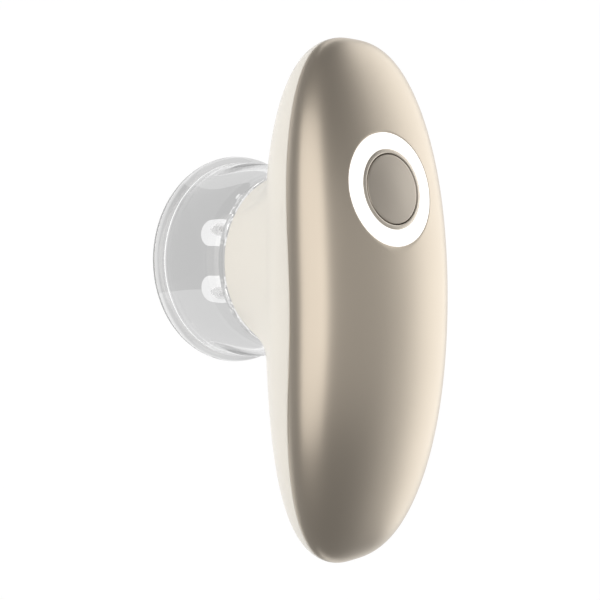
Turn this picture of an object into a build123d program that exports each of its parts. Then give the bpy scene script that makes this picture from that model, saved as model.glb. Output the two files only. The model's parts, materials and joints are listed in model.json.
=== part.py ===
from build123d import *
import math
import os

# Vacuum cellulite massager, in millimetres.
# The part stands on the mouth of its suction cup at Z = 0. X runs along the body, with the
# power button towards -X and the charging socket at +X. Y is across the body.

# Body shells
body_length = 165.0
body_width = 66.0
front_height = 16.0        # crown of the front cover above the parting line
rear_depth = 23.5          # back of the rear housing below the parting line
parting_height = 63.5      # parting line at the middle of the body, above the table
parting_drop = 4.7         # the parting line bows down towards both tips
plan_power = 2.86          # roundness of the outline seen from the front
front_power = 1.85         # roundness of the crown seen from the side
rear_power = 2.4           # roundness of the back seen from the side
front_fullness = 0.71      # 0.55 gives elliptic sections, more gives squarer shoulders
rear_fullness = 0.61
shell_wall = 2.2
stations_per_half = 8
blunt_share = 0.999         # the lofts end in a tiny flat at this share of the half length
running_gap = 0.3          # between curved faces of pieces that move past each other
seat_gap = 0.05            # between fixed pieces that fit into each other
plunger_gap = 0.1          # around a plunger in its bore

# Neck and cup
cup_offset = -13.0         # cup axis, from the middle of the body towards the button
neck_radius = 29.0
neck_draft = 1.5           # the neck is wider by this where it enters the body
neck_draft_height = 24.0
neck_end_drop = 33.0       # from the parting line at the middle of the body
neck_blend = 8.0
neck_wall = 2.6
socket_depth = 8.0         # recess in the neck that the cup's collar enters
partition_thickness = 2.2
neck_cavity_height = 9.0
rim_radius = 36.5
rim_thickness = 4.6
rim_height = 5.2
rim_flat = 1.2
cup_wall = 2.4
rim_overhang = 2.3         # of the rim past the bell
shoulder_reach = 2.2       # of the shoulder's arc past the neck
shoulder_drop = 3.8
ceiling_turn = 5.6         # the inner wall turns into the ceiling this far below it
ceiling_reach = 5.9        # and this far outside the collar's bore
shoulder_depth = 2.6       # of the cup's stepped shoulder below its seat on the neck
collar_length = 6.8
collar_wall = 2.5

# Plate and pins
plate_radius = 22.8
plate_drop = 2.5           # of the plate's face below the neck's end
plate_floor = 3.2
plate_rim_wall = 3.0
gasket_thickness = 0.8
gasket_width = 2.2
hub_radius = 4.4
plate_post_circle = 12.0
plate_post_radius = 2.4
plate_post_count = 3
plate_post_angle = 60.0
plate_screw_length = 6.5
pin_count = 6
pin_radius = 4.3
pin_circle_radius = 18.2
pin_tip_height = 5.0
pin_dome = 3.6
pin_shank_radius = 1.5
pin_shank_length = 4.6
washer_radius = 3.4
washer_thickness = 0.5
nozzle_bore = 1.0
nozzle_radius = 1.9
nozzle_length = 4.4
release_port_side = 18.0
filter_radius = 4.0
filter_thickness = 1.5
seal_section_radius = 0.85
seal_groove_depth = 1.0
seal_rise = 3.5            # above the neck's end

# Light ring and button, with depths below the surface at the button's centre
button_offset = -35.5      # centre of the button, from the middle of the body
ring_outer_radius = 17.5
ring_inner_radius = 12.4
ring_depth = 4.2
bezel_inner_radius = 10.95
bezel_depth = 3.3
button_radius = 10.65
button_skin = 2.0
button_wall = 1.3
button_flange_radius = 11.9
button_flange_depth = 3.7
button_flange_thickness = 0.8
button_stem_radius = 2.2
button_travel = 0.5
board_depth = 7.4
board_thickness = 1.2
carrier_radius = 20.0
ear_circle_radius = 23.0
ear_radius = 3.0
ear_count = 3
led_count = 12
led_circle_radius = 15.0
led_width = 1.6
led_length = 3.0
led_height = 0.9
led_window_margin = 0.4
switch_width = 6.0
switch_height = 2.9
plunger_radius = 1.7
plunger_height = 0.6       # above the switch's body
plunger_length = 2.4

# Pump
pump_axis_drop = 7.5       # below the parting line
motor_radius = 11.5
motor_length = 29.0
motor_wall = 0.8
motor_front_wall = 1.2
end_cap_thickness = 1.5
shaft_radius = 1.0
shaft_gap = 0.06
shaft_reach = 7.0          # shaft in front of the motor
armature_radius = 8.3
armature_length = 18.0
armature_poles = 3
armature_slot = 1.6
armature_core_radius = 3.2
commutator_radius = 2.5
commutator_length = 3.0
magnet_gap = 0.7
magnet_thickness = 1.6
magnet_angle = 130.0
crank_radius = 3.4
crank_throw = 1.2
crank_length = 3.0
crank_chamber_radius = 7.0
head_start = -2.0
head_width = 22.0
head_corner = 2.0
head_length = 5.0
diaphragm_thickness = 1.0
crankcase_length = 11.0
chamber_radius = 6.0
chamber_depth = 3.0
pump_screw_pitch = 17.0
pump_screw_length = 13.0
port_offset = 4.0          # of both ports from the pump's axis
sleeve_thickness = 1.5
sleeve_length = 16.0
sleeve_offset = 9.0        # from the motor's front

# Release valve
valve_radius = 5.0
valve_length = 18.0
valve_side = 18.0
valve_start = 2.0
valve_wall = 2.5
valve_plunger_radius = 2.4
valve_plunger_length = 10.0
valve_stroke = 1.2

# Air tubes
tube_wall = 1.05
tube_bend = 6.0
tube_end_gap = 0.3

# Battery
battery_inset = 19.0       # from the button end's tip
battery_tube_gap = 4.8     # to the suction tube
battery_width = 30.0
battery_height = 9.0
battery_drop = 13.5        # of its underside below the parting line
battery_corner = 3.0
battery_pad_thickness = 0.8
battery_lip = 2.4          # height of the rib ends that hold the battery sideways
rib_thickness = 2.0
rib_side = 1.4

# Main board and charging socket
main_board_start = -8.0
main_board_end = 44.0
main_board_width = 30.0
main_board_gap = 2.6       # above the pump head
main_board_inset = 4.0     # of its screws from the edges
chip_size = 7.0
chip_height = 1.0
charging_board_inset = 6.5  # from the handle's tip
charging_board_length = 16.0
charging_board_width = 12.0
charging_board_drop = 11.5  # below the parting line
socket_width = 9.0
socket_height = 3.3
socket_length = 7.4
socket_mouth_inset = 1.5    # from the handle's tip
socket_wall = 0.35
socket_tongue_width = 6.7
socket_tongue_thickness = 0.7
socket_opening_gap = 0.2

# Screws
small_screw_radius = 0.9
small_head_radius = 1.8
small_head_height = 1.1
small_screw_length = 5.0
recess_width = 0.5
housing_screw_radius = 1.3
housing_head_radius = 2.4
housing_head_height = 1.6
housing_screw_length = 14.0
housing_screw_grip = 4.5   # above the parting surface
boss_wall = 1.5
cap_thickness = 1.6
button_end_screw_inset = 12.5   # from the body's tip
button_end_screw_side = 8.0
handle_end_screw_inset = 20.5
handle_end_screw_side = 12.0

# Worked-out places
half_length = body_length / 2
neck_end_height = parting_height - neck_end_drop
plate_face_height = neck_end_height - plate_drop
seal_height = neck_end_height + seal_rise
pump_axis_height = parting_height - pump_axis_drop
port_height = pump_axis_height - port_offset
outlet_height = pump_axis_height + port_offset
main_board_height = pump_axis_height + head_width / 2 + main_board_gap
charging_board_height = parting_height - charging_board_drop
battery_floor = parting_height - battery_drop
partition_floor = neck_end_height + socket_depth
partition_top = partition_floor + partition_thickness
plate_top = partition_floor - gasket_thickness
socket_radius = neck_radius - neck_wall
collar_outer_radius = socket_radius - running_gap
collar_inner_radius = collar_outer_radius - collar_wall
cup_shoulder_top = neck_end_height - running_gap
shoulder_height = cup_shoulder_top - shoulder_depth
bell_radius = rim_radius - rim_overhang
nozzle_top = partition_top + nozzle_length
tube_bore = nozzle_radius + seat_gap
tube_radius = tube_bore + tube_wall
diaphragm_start = head_start + head_length
crankcase_start = diaphragm_start + diaphragm_thickness
motor_start = crankcase_start + crankcase_length
motor_end = motor_start + motor_length
sleeve_start = motor_start + sleeve_offset
sleeve_radius = motor_radius + sleeve_thickness
post_radius = small_screw_radius + boss_wall
boss_radius = housing_screw_radius + boss_wall
main_board_top = main_board_height + board_thickness
main_board_centre = (main_board_start + main_board_end) / 2
main_board_length = main_board_end - main_board_start
charging_board_top = charging_board_height + board_thickness
charging_board_end = half_length - charging_board_inset
charging_board_start = charging_board_end - charging_board_length
charging_board_centre = charging_board_end - charging_board_length / 2
socket_mouth = half_length - socket_mouth_inset
socket_centre_height = charging_board_top + socket_height / 2
battery_seat = battery_floor - battery_pad_thickness
battery_length = half_length - battery_inset + cup_offset - tube_radius - battery_tube_gap
battery_centre = battery_inset + battery_length / 2 - half_length
housing_screw_places = [
    (x, side * y)
    for x, y in (
        (button_end_screw_inset - half_length, button_end_screw_side),
        (half_length - handle_end_screw_inset, handle_end_screw_side),
    )
    for side in (-1, 1)
]
cup_axis = Axis((cup_offset, 0, 0), (0, 0, 1))


def oval(reach, share, power):
    """Reach of a rounded oval at a share of its half length."""
    return reach * max(0, 1 - abs(share) ** power) ** (1 / power)


def parting_z(x):
    return parting_height - parting_drop * (x / half_length) ** 2


def crown_z(x):
    return parting_z(x) + oval(front_height, x / half_length, front_power)


def back_z(x, y):
    """Height of the rear housing's back, with the power that fits its fullness."""
    power = -math.log(2) / math.log(0.5 + 0.375 * rear_fullness)
    half_width = oval(body_width / 2, x / half_length, plan_power)
    return parting_z(x) - oval(oval(rear_depth, x / half_length, rear_power), y / half_width, power)


def body_solid(inset, front=True, back=True):
    """The body or one half of it, shrunk by inset on every side, lofted from tip to tip."""
    steps = range(1 - stations_per_half, stations_per_half)
    shares = [math.sin(math.pi / 2 * step / stations_per_half) for step in steps]
    sections = []
    for share in (-blunt_share, *shares, blunt_share):
        x = (half_length - inset) * share / blunt_share
        middle = parting_z(x)
        w = oval(body_width / 2 - inset, share, plan_power)
        f = oval(front_height - inset, share, front_power)
        r = oval(rear_depth - inset, share, rear_power)
        a = front_fullness
        b = rear_fullness
        with BuildSketch(Plane.YZ.offset(x)) as section:
            with BuildLine():
                if front:
                    Bezier((w, middle), (w, middle + a * f), (a * w, middle + f), (0, middle + f))
                    Bezier((0, middle + f), (-a * w, middle + f), (-w, middle + a * f), (-w, middle))
                if back:
                    Bezier((-w, middle), (-w, middle - b * r), (-b * w, middle - r), (0, middle - r))
                    Bezier((0, middle - r), (b * w, middle - r), (w, middle - b * r), (w, middle))
                if not (front and back):
                    Line((-w, middle), (w, middle))
            make_face()
        sections.append(section.sketch.faces()[0])
    with BuildPart() as body:
        loft(sections=sections)
    return body.part


def screw_group(places, radius, length, head_radius, head_height, down):
    """Pan-head screws with a cross recess, one at each place, standing on their heads' seats."""
    turn = 180 if down else 0
    with BuildPart() as group:
        with Locations(*[place * Rotation(turn, 0, 0) for place in places]):
            Cylinder(radius, length, align=(Align.CENTER, Align.CENTER, Align.MIN))
            Cylinder(head_radius, head_height, align=(Align.CENTER, Align.CENTER, Align.MAX))
            with Locations((0, 0, -head_height)):
                for angle in (0, 90):
                    Box(
                        head_radius * 1.2,
                        recess_width,
                        head_height / 2,
                        rotation=(0, 0, angle),
                        align=(Align.CENTER, Align.CENTER, Align.MIN),
                        mode=Mode.SUBTRACT,
                    )
    return group


def write(piece, name):
    piece.part.label = name
    export_step(piece.part, f"parts/{name}.step")


os.makedirs("parts", exist_ok=True)

# The button's plane touches the crown at the button's centre
tilt = math.atan((crown_z(button_offset + 1) - crown_z(button_offset - 1)) / 2)
button_plane = Plane(
    origin=(button_offset, 0, crown_z(button_offset)),
    x_dir=(math.cos(tilt), 0, math.sin(tilt)),
    z_dir=(-math.sin(tilt), 0, math.cos(tilt)),
)

# Front cover, with posts for both boards and for the housing screws. The posts end inside its wall.
with BuildPart() as cover_posts:
    with BuildSketch(button_plane.offset(-board_depth)):
        with PolarLocations(ear_circle_radius, ear_count):
            Circle(post_radius)
    extrude(amount=board_depth)
    with BuildSketch(Plane.XY.offset(main_board_top)):
        with Locations((main_board_centre, 0)):
            with GridLocations(
                main_board_length - 2 * main_board_inset, main_board_width - 2 * main_board_inset, 2, 2
            ):
                Circle(post_radius)
    extrude(amount=front_height)
    for x, y in housing_screw_places:
        with BuildSketch(Plane.XY.offset(parting_z(x))):
            with Locations((x, y)):
                Circle(boss_radius)
        extrude(amount=front_height)
    add(body_solid(shell_wall / 2), mode=Mode.INTERSECT)

with BuildPart() as front_cover:
    add(body_solid(0, back=False))
    add(body_solid(shell_wall), mode=Mode.SUBTRACT)
    add(cover_posts.part)
    with BuildSketch(button_plane.offset(-board_depth)):
        Circle(ring_outer_radius + seat_gap)
    extrude(amount=2 * board_depth, mode=Mode.SUBTRACT)
    with BuildSketch(button_plane.offset(-board_depth)):
        with PolarLocations(ear_circle_radius, ear_count):
            Circle(small_screw_radius + seat_gap)
    extrude(amount=small_screw_length - board_thickness + seat_gap, mode=Mode.SUBTRACT)
    with BuildSketch(Plane.XY.offset(main_board_top)):
        with Locations((main_board_centre, 0)):
            with GridLocations(
                main_board_length - 2 * main_board_inset, main_board_width - 2 * main_board_inset, 2, 2
            ):
                Circle(small_screw_radius + seat_gap)
    extrude(amount=small_screw_length - board_thickness + seat_gap, mode=Mode.SUBTRACT)
    for x, y in housing_screw_places:
        with BuildSketch(Plane.XY.offset(parting_z(x) - 1)):
            with Locations((x, y)):
                Circle(housing_screw_radius + seat_gap)
        extrude(amount=housing_screw_grip + 1 + seat_gap, mode=Mode.SUBTRACT)
write(front_cover, "front_cover")

# Rear housing: the back of the body flows into a round neck
with BuildPart() as rear_form:
    add(body_solid(0, front=False))
    with BuildSketch(Plane.XZ):
        with BuildLine():
            top = neck_end_height + neck_draft_height
            Polyline(
                (cup_offset, neck_end_height),
                (cup_offset + neck_radius, neck_end_height),
                (cup_offset + neck_radius + neck_draft, top),
                (cup_offset, top),
                (cup_offset, neck_end_height),
            )
        make_face()
    revolve(axis=cup_axis)
    low_edges = rear_form.edges().filter_by(GeomType.BSPLINE).filter_by(
        lambda edge: edge.center().Z < parting_height - rear_depth / 2
    )
    fillet(low_edges.sort_by(SortBy.LENGTH)[-1], radius=neck_blend)

with BuildPart() as housing_reach:
    add(body_solid(shell_wall / 2, front=False))
    with Locations((cup_offset, 0, partition_top - partition_thickness / 2)):
        Cylinder(
            socket_radius + neck_wall / 2,
            neck_cavity_height,
            align=(Align.CENTER, Align.CENTER, Align.MIN),
        )

# Ribs and bosses that stand on the inside of the rear housing
with BuildPart() as housing_ribs:
    for share in (-0.3, 0, 0.3):
        with Locations((battery_centre + share * battery_length, 0, 0)):
            Box(
                rib_thickness,
                battery_width + 2 * rib_side,
                battery_seat + battery_lip,
                align=(Align.CENTER, Align.CENTER, Align.MIN),
            )
    with Locations((battery_centre, 0, battery_seat)):
        Box(
            battery_length + 2 * seat_gap,
            battery_width + 2 * seat_gap,
            battery_height,
            align=(Align.CENTER, Align.CENTER, Align.MIN),
            mode=Mode.SUBTRACT,
        )
    for x in (sleeve_start + rib_thickness, sleeve_start + sleeve_length - rib_thickness):
        with Locations((x, 0, 0)):
            Box(
                rib_thickness,
                2 * motor_radius,
                pump_axis_height - motor_radius / 2,
                align=(Align.CENTER, Align.CENTER, Align.MIN),
            )
    with Locations((sleeve_start, 0, pump_axis_height)):
        Cylinder(
            sleeve_radius + seat_gap,
            sleeve_length,
            rotation=(0, 90, 0),
            align=(Align.CENTER, Align.CENTER, Align.MIN),
            mode=Mode.SUBTRACT,
        )
    for x in (head_start + rib_thickness, motor_start - 2 * rib_thickness):
        with Locations((x, 0, 0)):
            Box(
                rib_thickness,
                head_width - 2 * head_corner,
                pump_axis_height - head_width / 2,
                align=(Align.CENTER, Align.CENTER, Align.MIN),
            )
    for x in (valve_start + 2 * rib_thickness, valve_start + valve_length - 2 * rib_thickness):
        with Locations((x, valve_side, 0)):
            Box(
                rib_thickness,
                2 * valve_radius,
                port_height - valve_radius / 2,
                align=(Align.CENTER, Align.CENTER, Align.MIN),
            )
    with Locations((valve_start, valve_side, port_height)):
        Cylinder(
            valve_radius + seat_gap,
            valve_length,
            rotation=(0, 90, 0),
            align=(Align.CENTER, Align.CENTER, Align.MIN),
            mode=Mode.SUBTRACT,
        )
    for x in (charging_board_start + main_board_inset, charging_board_end - main_board_inset):
        with Locations((x, 0, 0)):
            Box(
                2 * post_radius,
                charging_board_width,
                charging_board_height,
                align=(Align.CENTER, Align.CENTER, Align.MIN),
            )
    for x, y in housing_screw_places:
        with Locations((x, y, 0)):
            Cylinder(boss_radius + boss_wall, parting_z(x), align=(Align.CENTER, Align.CENTER, Align.MIN))
    add(housing_reach.part, mode=Mode.INTERSECT)

with BuildPart() as rear_housing:
    add(rear_form.part)
    add(body_solid(shell_wall), mode=Mode.SUBTRACT)
    with Locations((cup_offset, 0, partition_top)):
        Cylinder(
            socket_radius,
            neck_cavity_height,
            align=(Align.CENTER, Align.CENTER, Align.MIN),
            mode=Mode.SUBTRACT,
        )
    with Locations((cup_offset, 0, partition_floor)):
        Cylinder(
            socket_radius,
            partition_floor,
            align=(Align.CENTER, Align.CENTER, Align.MAX),
            mode=Mode.SUBTRACT,
        )
    add(housing_ribs.part)
    with BuildSketch(Plane.XY.offset(partition_floor)):
        with Locations((cup_offset, 0), (cup_offset, release_port_side)):
            Circle(nozzle_radius + running_gap)
        with Locations((cup_offset, 0)):
            with PolarLocations(plate_post_circle, plate_post_count, plate_post_angle):
                Circle(small_screw_radius + plunger_gap)
    extrude(amount=partition_thickness, mode=Mode.SUBTRACT)
    for x, y in housing_screw_places:
        seat = parting_z(x) + housing_screw_grip - housing_screw_length
        with BuildSketch(Plane.XY.offset(seat)):
            with Locations((x, y)):
                Circle(housing_head_radius + plunger_gap)
        extrude(amount=-seat, mode=Mode.SUBTRACT)
        with BuildSketch(Plane.XY.offset(seat)):
            with Locations((x, y)):
                Circle(housing_screw_radius + seat_gap)
        extrude(amount=housing_screw_length, mode=Mode.SUBTRACT)
    with BuildSketch(Plane.YZ.offset(charging_board_end)):
        with Locations((0, socket_centre_height)):
            RectangleRounded(
                socket_width + 2 * socket_opening_gap,
                socket_height + 2 * socket_opening_gap,
                socket_height / 2,
            )
    extrude(amount=half_length - charging_board_end + shell_wall, mode=Mode.SUBTRACT)
    with BuildSketch(Plane.XY.offset(charging_board_height)):
        with Locations((charging_board_start + main_board_inset, 0)):
            with GridLocations(0, charging_board_width - 2 * post_radius, 1, 2):
                Circle(small_screw_radius + seat_gap)
    extrude(amount=board_thickness - small_screw_length - seat_gap, mode=Mode.SUBTRACT)
write(rear_housing, "rear_housing")

# Light ring, bezel and button follow the crown's surface
with BuildPart() as light_ring:
    with BuildSketch(button_plane.offset(-ring_depth)):
        Circle(ring_outer_radius)
        Circle(ring_inner_radius, mode=Mode.SUBTRACT)
    extrude(amount=2 * ring_depth)
    add(body_solid(0), mode=Mode.INTERSECT)
write(light_ring, "light_ring")

with BuildPart() as button_bezel:
    with BuildSketch(button_plane.offset(-bezel_depth)):
        Circle(ring_inner_radius - seat_gap)
        Circle(bezel_inner_radius, mode=Mode.SUBTRACT)
    extrude(amount=2 * bezel_depth)
    add(body_solid(0), mode=Mode.INTERSECT)
write(button_bezel, "button_bezel")

flange_bottom = button_flange_depth + button_flange_thickness
stem_bottom = board_depth - switch_height - plunger_height
with BuildPart() as power_button:
    with BuildSketch(button_plane.offset(-flange_bottom)):
        Circle(button_radius)
    extrude(amount=2 * flange_bottom)
    add(body_solid(0), mode=Mode.INTERSECT)
    with BuildSketch(button_plane.offset(-flange_bottom)):
        Circle(button_flange_radius)
    extrude(amount=button_flange_thickness)
    with BuildSketch(button_plane.offset(-flange_bottom)):
        Circle(button_radius - button_wall)
    extrude(amount=flange_bottom - button_skin, mode=Mode.SUBTRACT)
    with BuildSketch(button_plane.offset(-stem_bottom)):
        Circle(button_stem_radius)
    extrude(amount=stem_bottom - button_skin)
write(power_button, "power_button")

# Carrier with a window over each light, between the ring and its board
with BuildPart() as light_carrier:
    with BuildSketch(button_plane.offset(-board_depth)):
        Circle(carrier_radius)
        Circle(ring_inner_radius, mode=Mode.SUBTRACT)
        with PolarLocations(led_circle_radius, led_count):
            Rectangle(
                led_width + 2 * led_window_margin, led_length + 2 * led_window_margin, mode=Mode.SUBTRACT
            )
    extrude(amount=board_depth - ring_depth)
write(light_carrier, "light_carrier")

with BuildPart() as ring_board:
    with BuildSketch(button_plane.offset(-board_depth)):
        Circle(carrier_radius)
        with PolarLocations(ear_circle_radius - ear_radius, ear_count):
            Rectangle(2 * ear_radius, 2 * ear_radius)
        with PolarLocations(ear_circle_radius, ear_count):
            Circle(ear_radius)
            Circle(small_screw_radius + plunger_gap, mode=Mode.SUBTRACT)
    extrude(amount=-board_thickness)
write(ring_board, "ring_board")

with BuildPart() as ring_lights:
    with BuildSketch(button_plane.offset(-board_depth)):
        with PolarLocations(led_circle_radius, led_count):
            Rectangle(led_width, led_length)
    extrude(amount=led_height)
write(ring_lights, "ring_lights")

with BuildPart() as button_switch:
    with BuildSketch(button_plane.offset(-board_depth)):
        Rectangle(switch_width, switch_width)
    extrude(amount=switch_height)
    bore_depth = plunger_length - plunger_height + button_travel + plunger_gap
    with BuildSketch(button_plane.offset(switch_height - board_depth)):
        Circle(plunger_radius + plunger_gap)
    extrude(amount=-bore_depth, mode=Mode.SUBTRACT)
write(button_switch, "button_switch")

with BuildPart() as switch_plunger:
    with BuildSketch(button_plane.offset(-stem_bottom)):
        Circle(plunger_radius)
    extrude(amount=-plunger_length)
write(switch_plunger, "switch_plunger")

board_back = button_plane.offset(-board_depth - board_thickness)
ear_places = [
    board_back.location * Location(Vector(ear_circle_radius, 0).rotate(Axis.Z, 360 / ear_count * i))
    for i in range(ear_count)
]
ring_board_screws = screw_group(
    ear_places, small_screw_radius, small_screw_length, small_head_radius, small_head_height, False
)
write(ring_board_screws, "ring_board_screws")

# Main board under the crown
with BuildPart() as main_board:
    with BuildSketch(Plane.XY.offset(main_board_height)):
        with Locations((main_board_centre, 0)):
            RectangleRounded(main_board_length, main_board_width, 2)
            with GridLocations(
                main_board_length - 2 * main_board_inset, main_board_width - 2 * main_board_inset, 2, 2
            ):
                Circle(small_screw_radius + plunger_gap, mode=Mode.SUBTRACT)
    extrude(amount=board_thickness)
write(main_board, "main_board")

with BuildPart() as board_components:
    with BuildSketch(Plane.XY.offset(main_board_top)):
        with Locations((main_board_centre, 0)):
            Rectangle(chip_size, chip_size)
    extrude(amount=chip_height)
    with BuildSketch(Plane.XY.offset(main_board_top)):
        with Locations((main_board_centre + 2 * chip_size, 0)):
            RectangleRounded(chip_size - 1, chip_size - 1, 1)
    extrude(amount=2 * chip_height)
    with BuildSketch(Plane.XY.offset(main_board_top)):
        with Locations((main_board_centre - 1.5 * chip_size, 0)):
            with GridLocations(chip_size / 2, chip_size / 2, 2, 3):
                Rectangle(chip_size / 4, chip_size / 6)
    extrude(amount=chip_height / 2)
write(board_components, "board_components")

main_board_screw_places = [
    Location((main_board_centre + i * (main_board_length / 2 - main_board_inset),
              j * (main_board_width / 2 - main_board_inset), main_board_height))
    for i in (-1, 1) for j in (-1, 1)
]
main_board_screws = screw_group(
    main_board_screw_places, small_screw_radius, small_screw_length,
    small_head_radius, small_head_height, False
)
write(main_board_screws, "main_board_screws")

# Battery on its foam pad
with BuildPart() as battery:
    with BuildSketch(Plane.XY.offset(battery_floor)):
        with Locations((battery_centre, 0)):
            RectangleRounded(battery_length, battery_width, battery_corner)
    extrude(amount=battery_height)
    fillet(battery.faces().sort_by(Axis.Z)[-1].edges(), radius=battery_corner / 2)
write(battery, "battery")

with BuildPart() as battery_pad:
    with BuildSketch(Plane.XY.offset(battery_seat)):
        with Locations((battery_centre, 0)):
            RectangleRounded(battery_length, battery_width, battery_corner)
    extrude(amount=battery_pad_thickness)
write(battery_pad, "battery_pad")

# Pump: head, diaphragm, crankcase and motor on one axis along X
pump_section = Plane.YZ.offset(head_start)
with BuildPart() as pump_head:
    with BuildSketch(pump_section):
        with Locations((0, pump_axis_height)):
            RectangleRounded(head_width, head_width, head_corner)
            with GridLocations(pump_screw_pitch, pump_screw_pitch, 2, 2):
                Circle(small_screw_radius + plunger_gap, mode=Mode.SUBTRACT)
    extrude(amount=head_length)
    with BuildSketch(Plane.YZ.offset(diaphragm_start)):
        with Locations((0, pump_axis_height)):
            Circle(chamber_radius)
    extrude(amount=-chamber_depth, mode=Mode.SUBTRACT)
    with BuildSketch(pump_section):
        with Locations((0, port_height), (0, outlet_height)):
            Circle(nozzle_radius)
    extrude(amount=-nozzle_length)
    with BuildSketch(Plane.YZ.offset(head_start - nozzle_length)):
        with Locations((0, port_height), (0, outlet_height)):
            Circle(nozzle_bore)
    extrude(amount=nozzle_length + head_length - chamber_depth, mode=Mode.SUBTRACT)
write(pump_head, "pump_head")

with BuildPart() as pump_diaphragm:
    with BuildSketch(Plane.YZ.offset(diaphragm_start)):
        with Locations((0, pump_axis_height)):
            RectangleRounded(head_width, head_width, head_corner)
            with GridLocations(pump_screw_pitch, pump_screw_pitch, 2, 2):
                Circle(small_screw_radius + plunger_gap, mode=Mode.SUBTRACT)
    extrude(amount=diaphragm_thickness)
write(pump_diaphragm, "pump_diaphragm")

with BuildPart() as pump_crankcase:
    with BuildSketch(Plane.YZ.offset(crankcase_start)):
        with Locations((0, pump_axis_height)):
            RectangleRounded(head_width, head_width, head_corner)
            Circle(crank_chamber_radius, mode=Mode.SUBTRACT)
    extrude(amount=crankcase_length)
    with BuildSketch(Plane.YZ.offset(crankcase_start)):
        with Locations((0, pump_axis_height)):
            with GridLocations(pump_screw_pitch, pump_screw_pitch, 2, 2):
                Circle(small_screw_radius + seat_gap)
    extrude(amount=pump_screw_length - head_length - diaphragm_thickness + seat_gap, mode=Mode.SUBTRACT)
write(pump_crankcase, "pump_crankcase")

pump_screw_places = [
    Location((head_start, i * pump_screw_pitch / 2, pump_axis_height + j * pump_screw_pitch / 2), (0, 90, 0))
    for i in (-1, 1) for j in (-1, 1)
]
pump_screws = screw_group(
    pump_screw_places, small_screw_radius, pump_screw_length, small_head_radius, small_head_height, False
)
write(pump_screws, "pump_screws")

with BuildPart() as motor_can:
    with BuildSketch(Plane.YZ.offset(motor_start)):
        with Locations((0, pump_axis_height)):
            Circle(motor_radius)
    extrude(amount=motor_length)
    fillet(motor_can.faces().sort_by(Axis.X)[0].edges(), radius=motor_wall)
    with BuildSketch(Plane.YZ.offset(motor_start + motor_front_wall)):
        with Locations((0, pump_axis_height)):
            Circle(motor_radius - motor_wall)
    extrude(amount=motor_length, mode=Mode.SUBTRACT)
    with BuildSketch(Plane.YZ.offset(motor_start)):
        with Locations((0, pump_axis_height)):
            Circle(shaft_radius + shaft_gap)
    extrude(amount=motor_front_wall, mode=Mode.SUBTRACT)
write(motor_can, "motor_can")

with BuildPart() as motor_end_cap:
    with BuildSketch(Plane.YZ.offset(motor_end)):
        with Locations((0, pump_axis_height)):
            Circle(motor_radius - motor_wall - seat_gap)
            Circle(shaft_radius + shaft_gap, mode=Mode.SUBTRACT)
    extrude(amount=-end_cap_thickness)
write(motor_end_cap, "motor_end_cap")

armature_start = motor_start + motor_front_wall + commutator_length
magnet_inner_radius = armature_radius + magnet_gap
with BuildPart() as motor_magnets:
    with BuildSketch(Plane.YZ.offset(armature_start)):
        with Locations((0, pump_axis_height)):
            Circle(magnet_inner_radius + magnet_thickness)
            Circle(magnet_inner_radius, mode=Mode.SUBTRACT)
        with Locations((0, pump_axis_height)):
            gap_angle = 180 - magnet_angle
            Rectangle(
                2 * motor_radius * math.sin(math.radians(gap_angle / 2)), 2 * motor_radius, mode=Mode.SUBTRACT
            )
    extrude(amount=armature_length)
write(motor_magnets, "motor_magnets")

with BuildPart() as motor_rotor:
    with BuildSketch(Plane.YZ.offset(armature_start)):
        with Locations((0, pump_axis_height)):
            Circle(armature_radius)
            with PolarLocations((armature_radius + armature_core_radius) / 2, armature_poles, start_angle=90):
                Rectangle(armature_radius - armature_core_radius, armature_slot, mode=Mode.SUBTRACT)
            with PolarLocations(armature_radius - armature_slot, armature_poles, start_angle=90):
                Rectangle(armature_slot * 4, armature_slot, mode=Mode.SUBTRACT)
    extrude(amount=armature_length)
    with BuildSketch(Plane.YZ.offset(armature_start + armature_length)):
        with Locations((0, pump_axis_height)):
            Circle(commutator_radius)
    extrude(amount=commutator_length)
    with BuildSketch(Plane.YZ.offset(motor_start - shaft_reach)):
        with Locations((0, pump_axis_height)):
            Circle(shaft_radius)
    extrude(amount=shaft_reach + motor_length)
write(motor_rotor, "motor_rotor")

with BuildPart() as pump_crank:
    with BuildSketch(Plane.YZ.offset(motor_start - shaft_reach)):
        with Locations((0, pump_axis_height + crank_throw)):
            Circle(crank_radius)
        with Locations((0, pump_axis_height)):
            Circle(shaft_radius, mode=Mode.SUBTRACT)
    extrude(amount=crank_length)
write(pump_crank, "pump_crank")

with BuildPart() as motor_sleeve:
    with BuildSketch(Plane.YZ.offset(sleeve_start)):
        with Locations((0, pump_axis_height)):
            Circle(sleeve_radius)
            Circle(motor_radius + seat_gap, mode=Mode.SUBTRACT)
    extrude(amount=sleeve_length)
write(motor_sleeve, "motor_sleeve")

# Release valve beside the pump head
plunger_start = valve_start + valve_wall + plunger_gap
with BuildPart() as release_valve:
    with BuildSketch(Plane.YZ.offset(valve_start)):
        with Locations((valve_side, port_height)):
            Circle(valve_radius)
    extrude(amount=valve_length)
    with BuildSketch(Plane.YZ.offset(valve_start)):
        with Locations((valve_side, port_height)):
            Circle(nozzle_radius)
    extrude(amount=-nozzle_length)
    with BuildSketch(Plane.YZ.offset(valve_start - nozzle_length)):
        with Locations((valve_side, port_height)):
            Circle(nozzle_bore)
    extrude(amount=nozzle_length + valve_wall, mode=Mode.SUBTRACT)
    with BuildSketch(Plane.YZ.offset(valve_start + valve_wall)):
        with Locations((valve_side, port_height)):
            Circle(valve_plunger_radius + plunger_gap)
    extrude(amount=valve_plunger_length + valve_stroke + 2 * plunger_gap, mode=Mode.SUBTRACT)
write(release_valve, "release_valve")

with BuildPart() as valve_plunger:
    with BuildSketch(Plane.YZ.offset(plunger_start)):
        with Locations((valve_side, port_height)):
            Circle(valve_plunger_radius)
    extrude(amount=valve_plunger_length)
write(valve_plunger, "valve_plunger")


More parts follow.
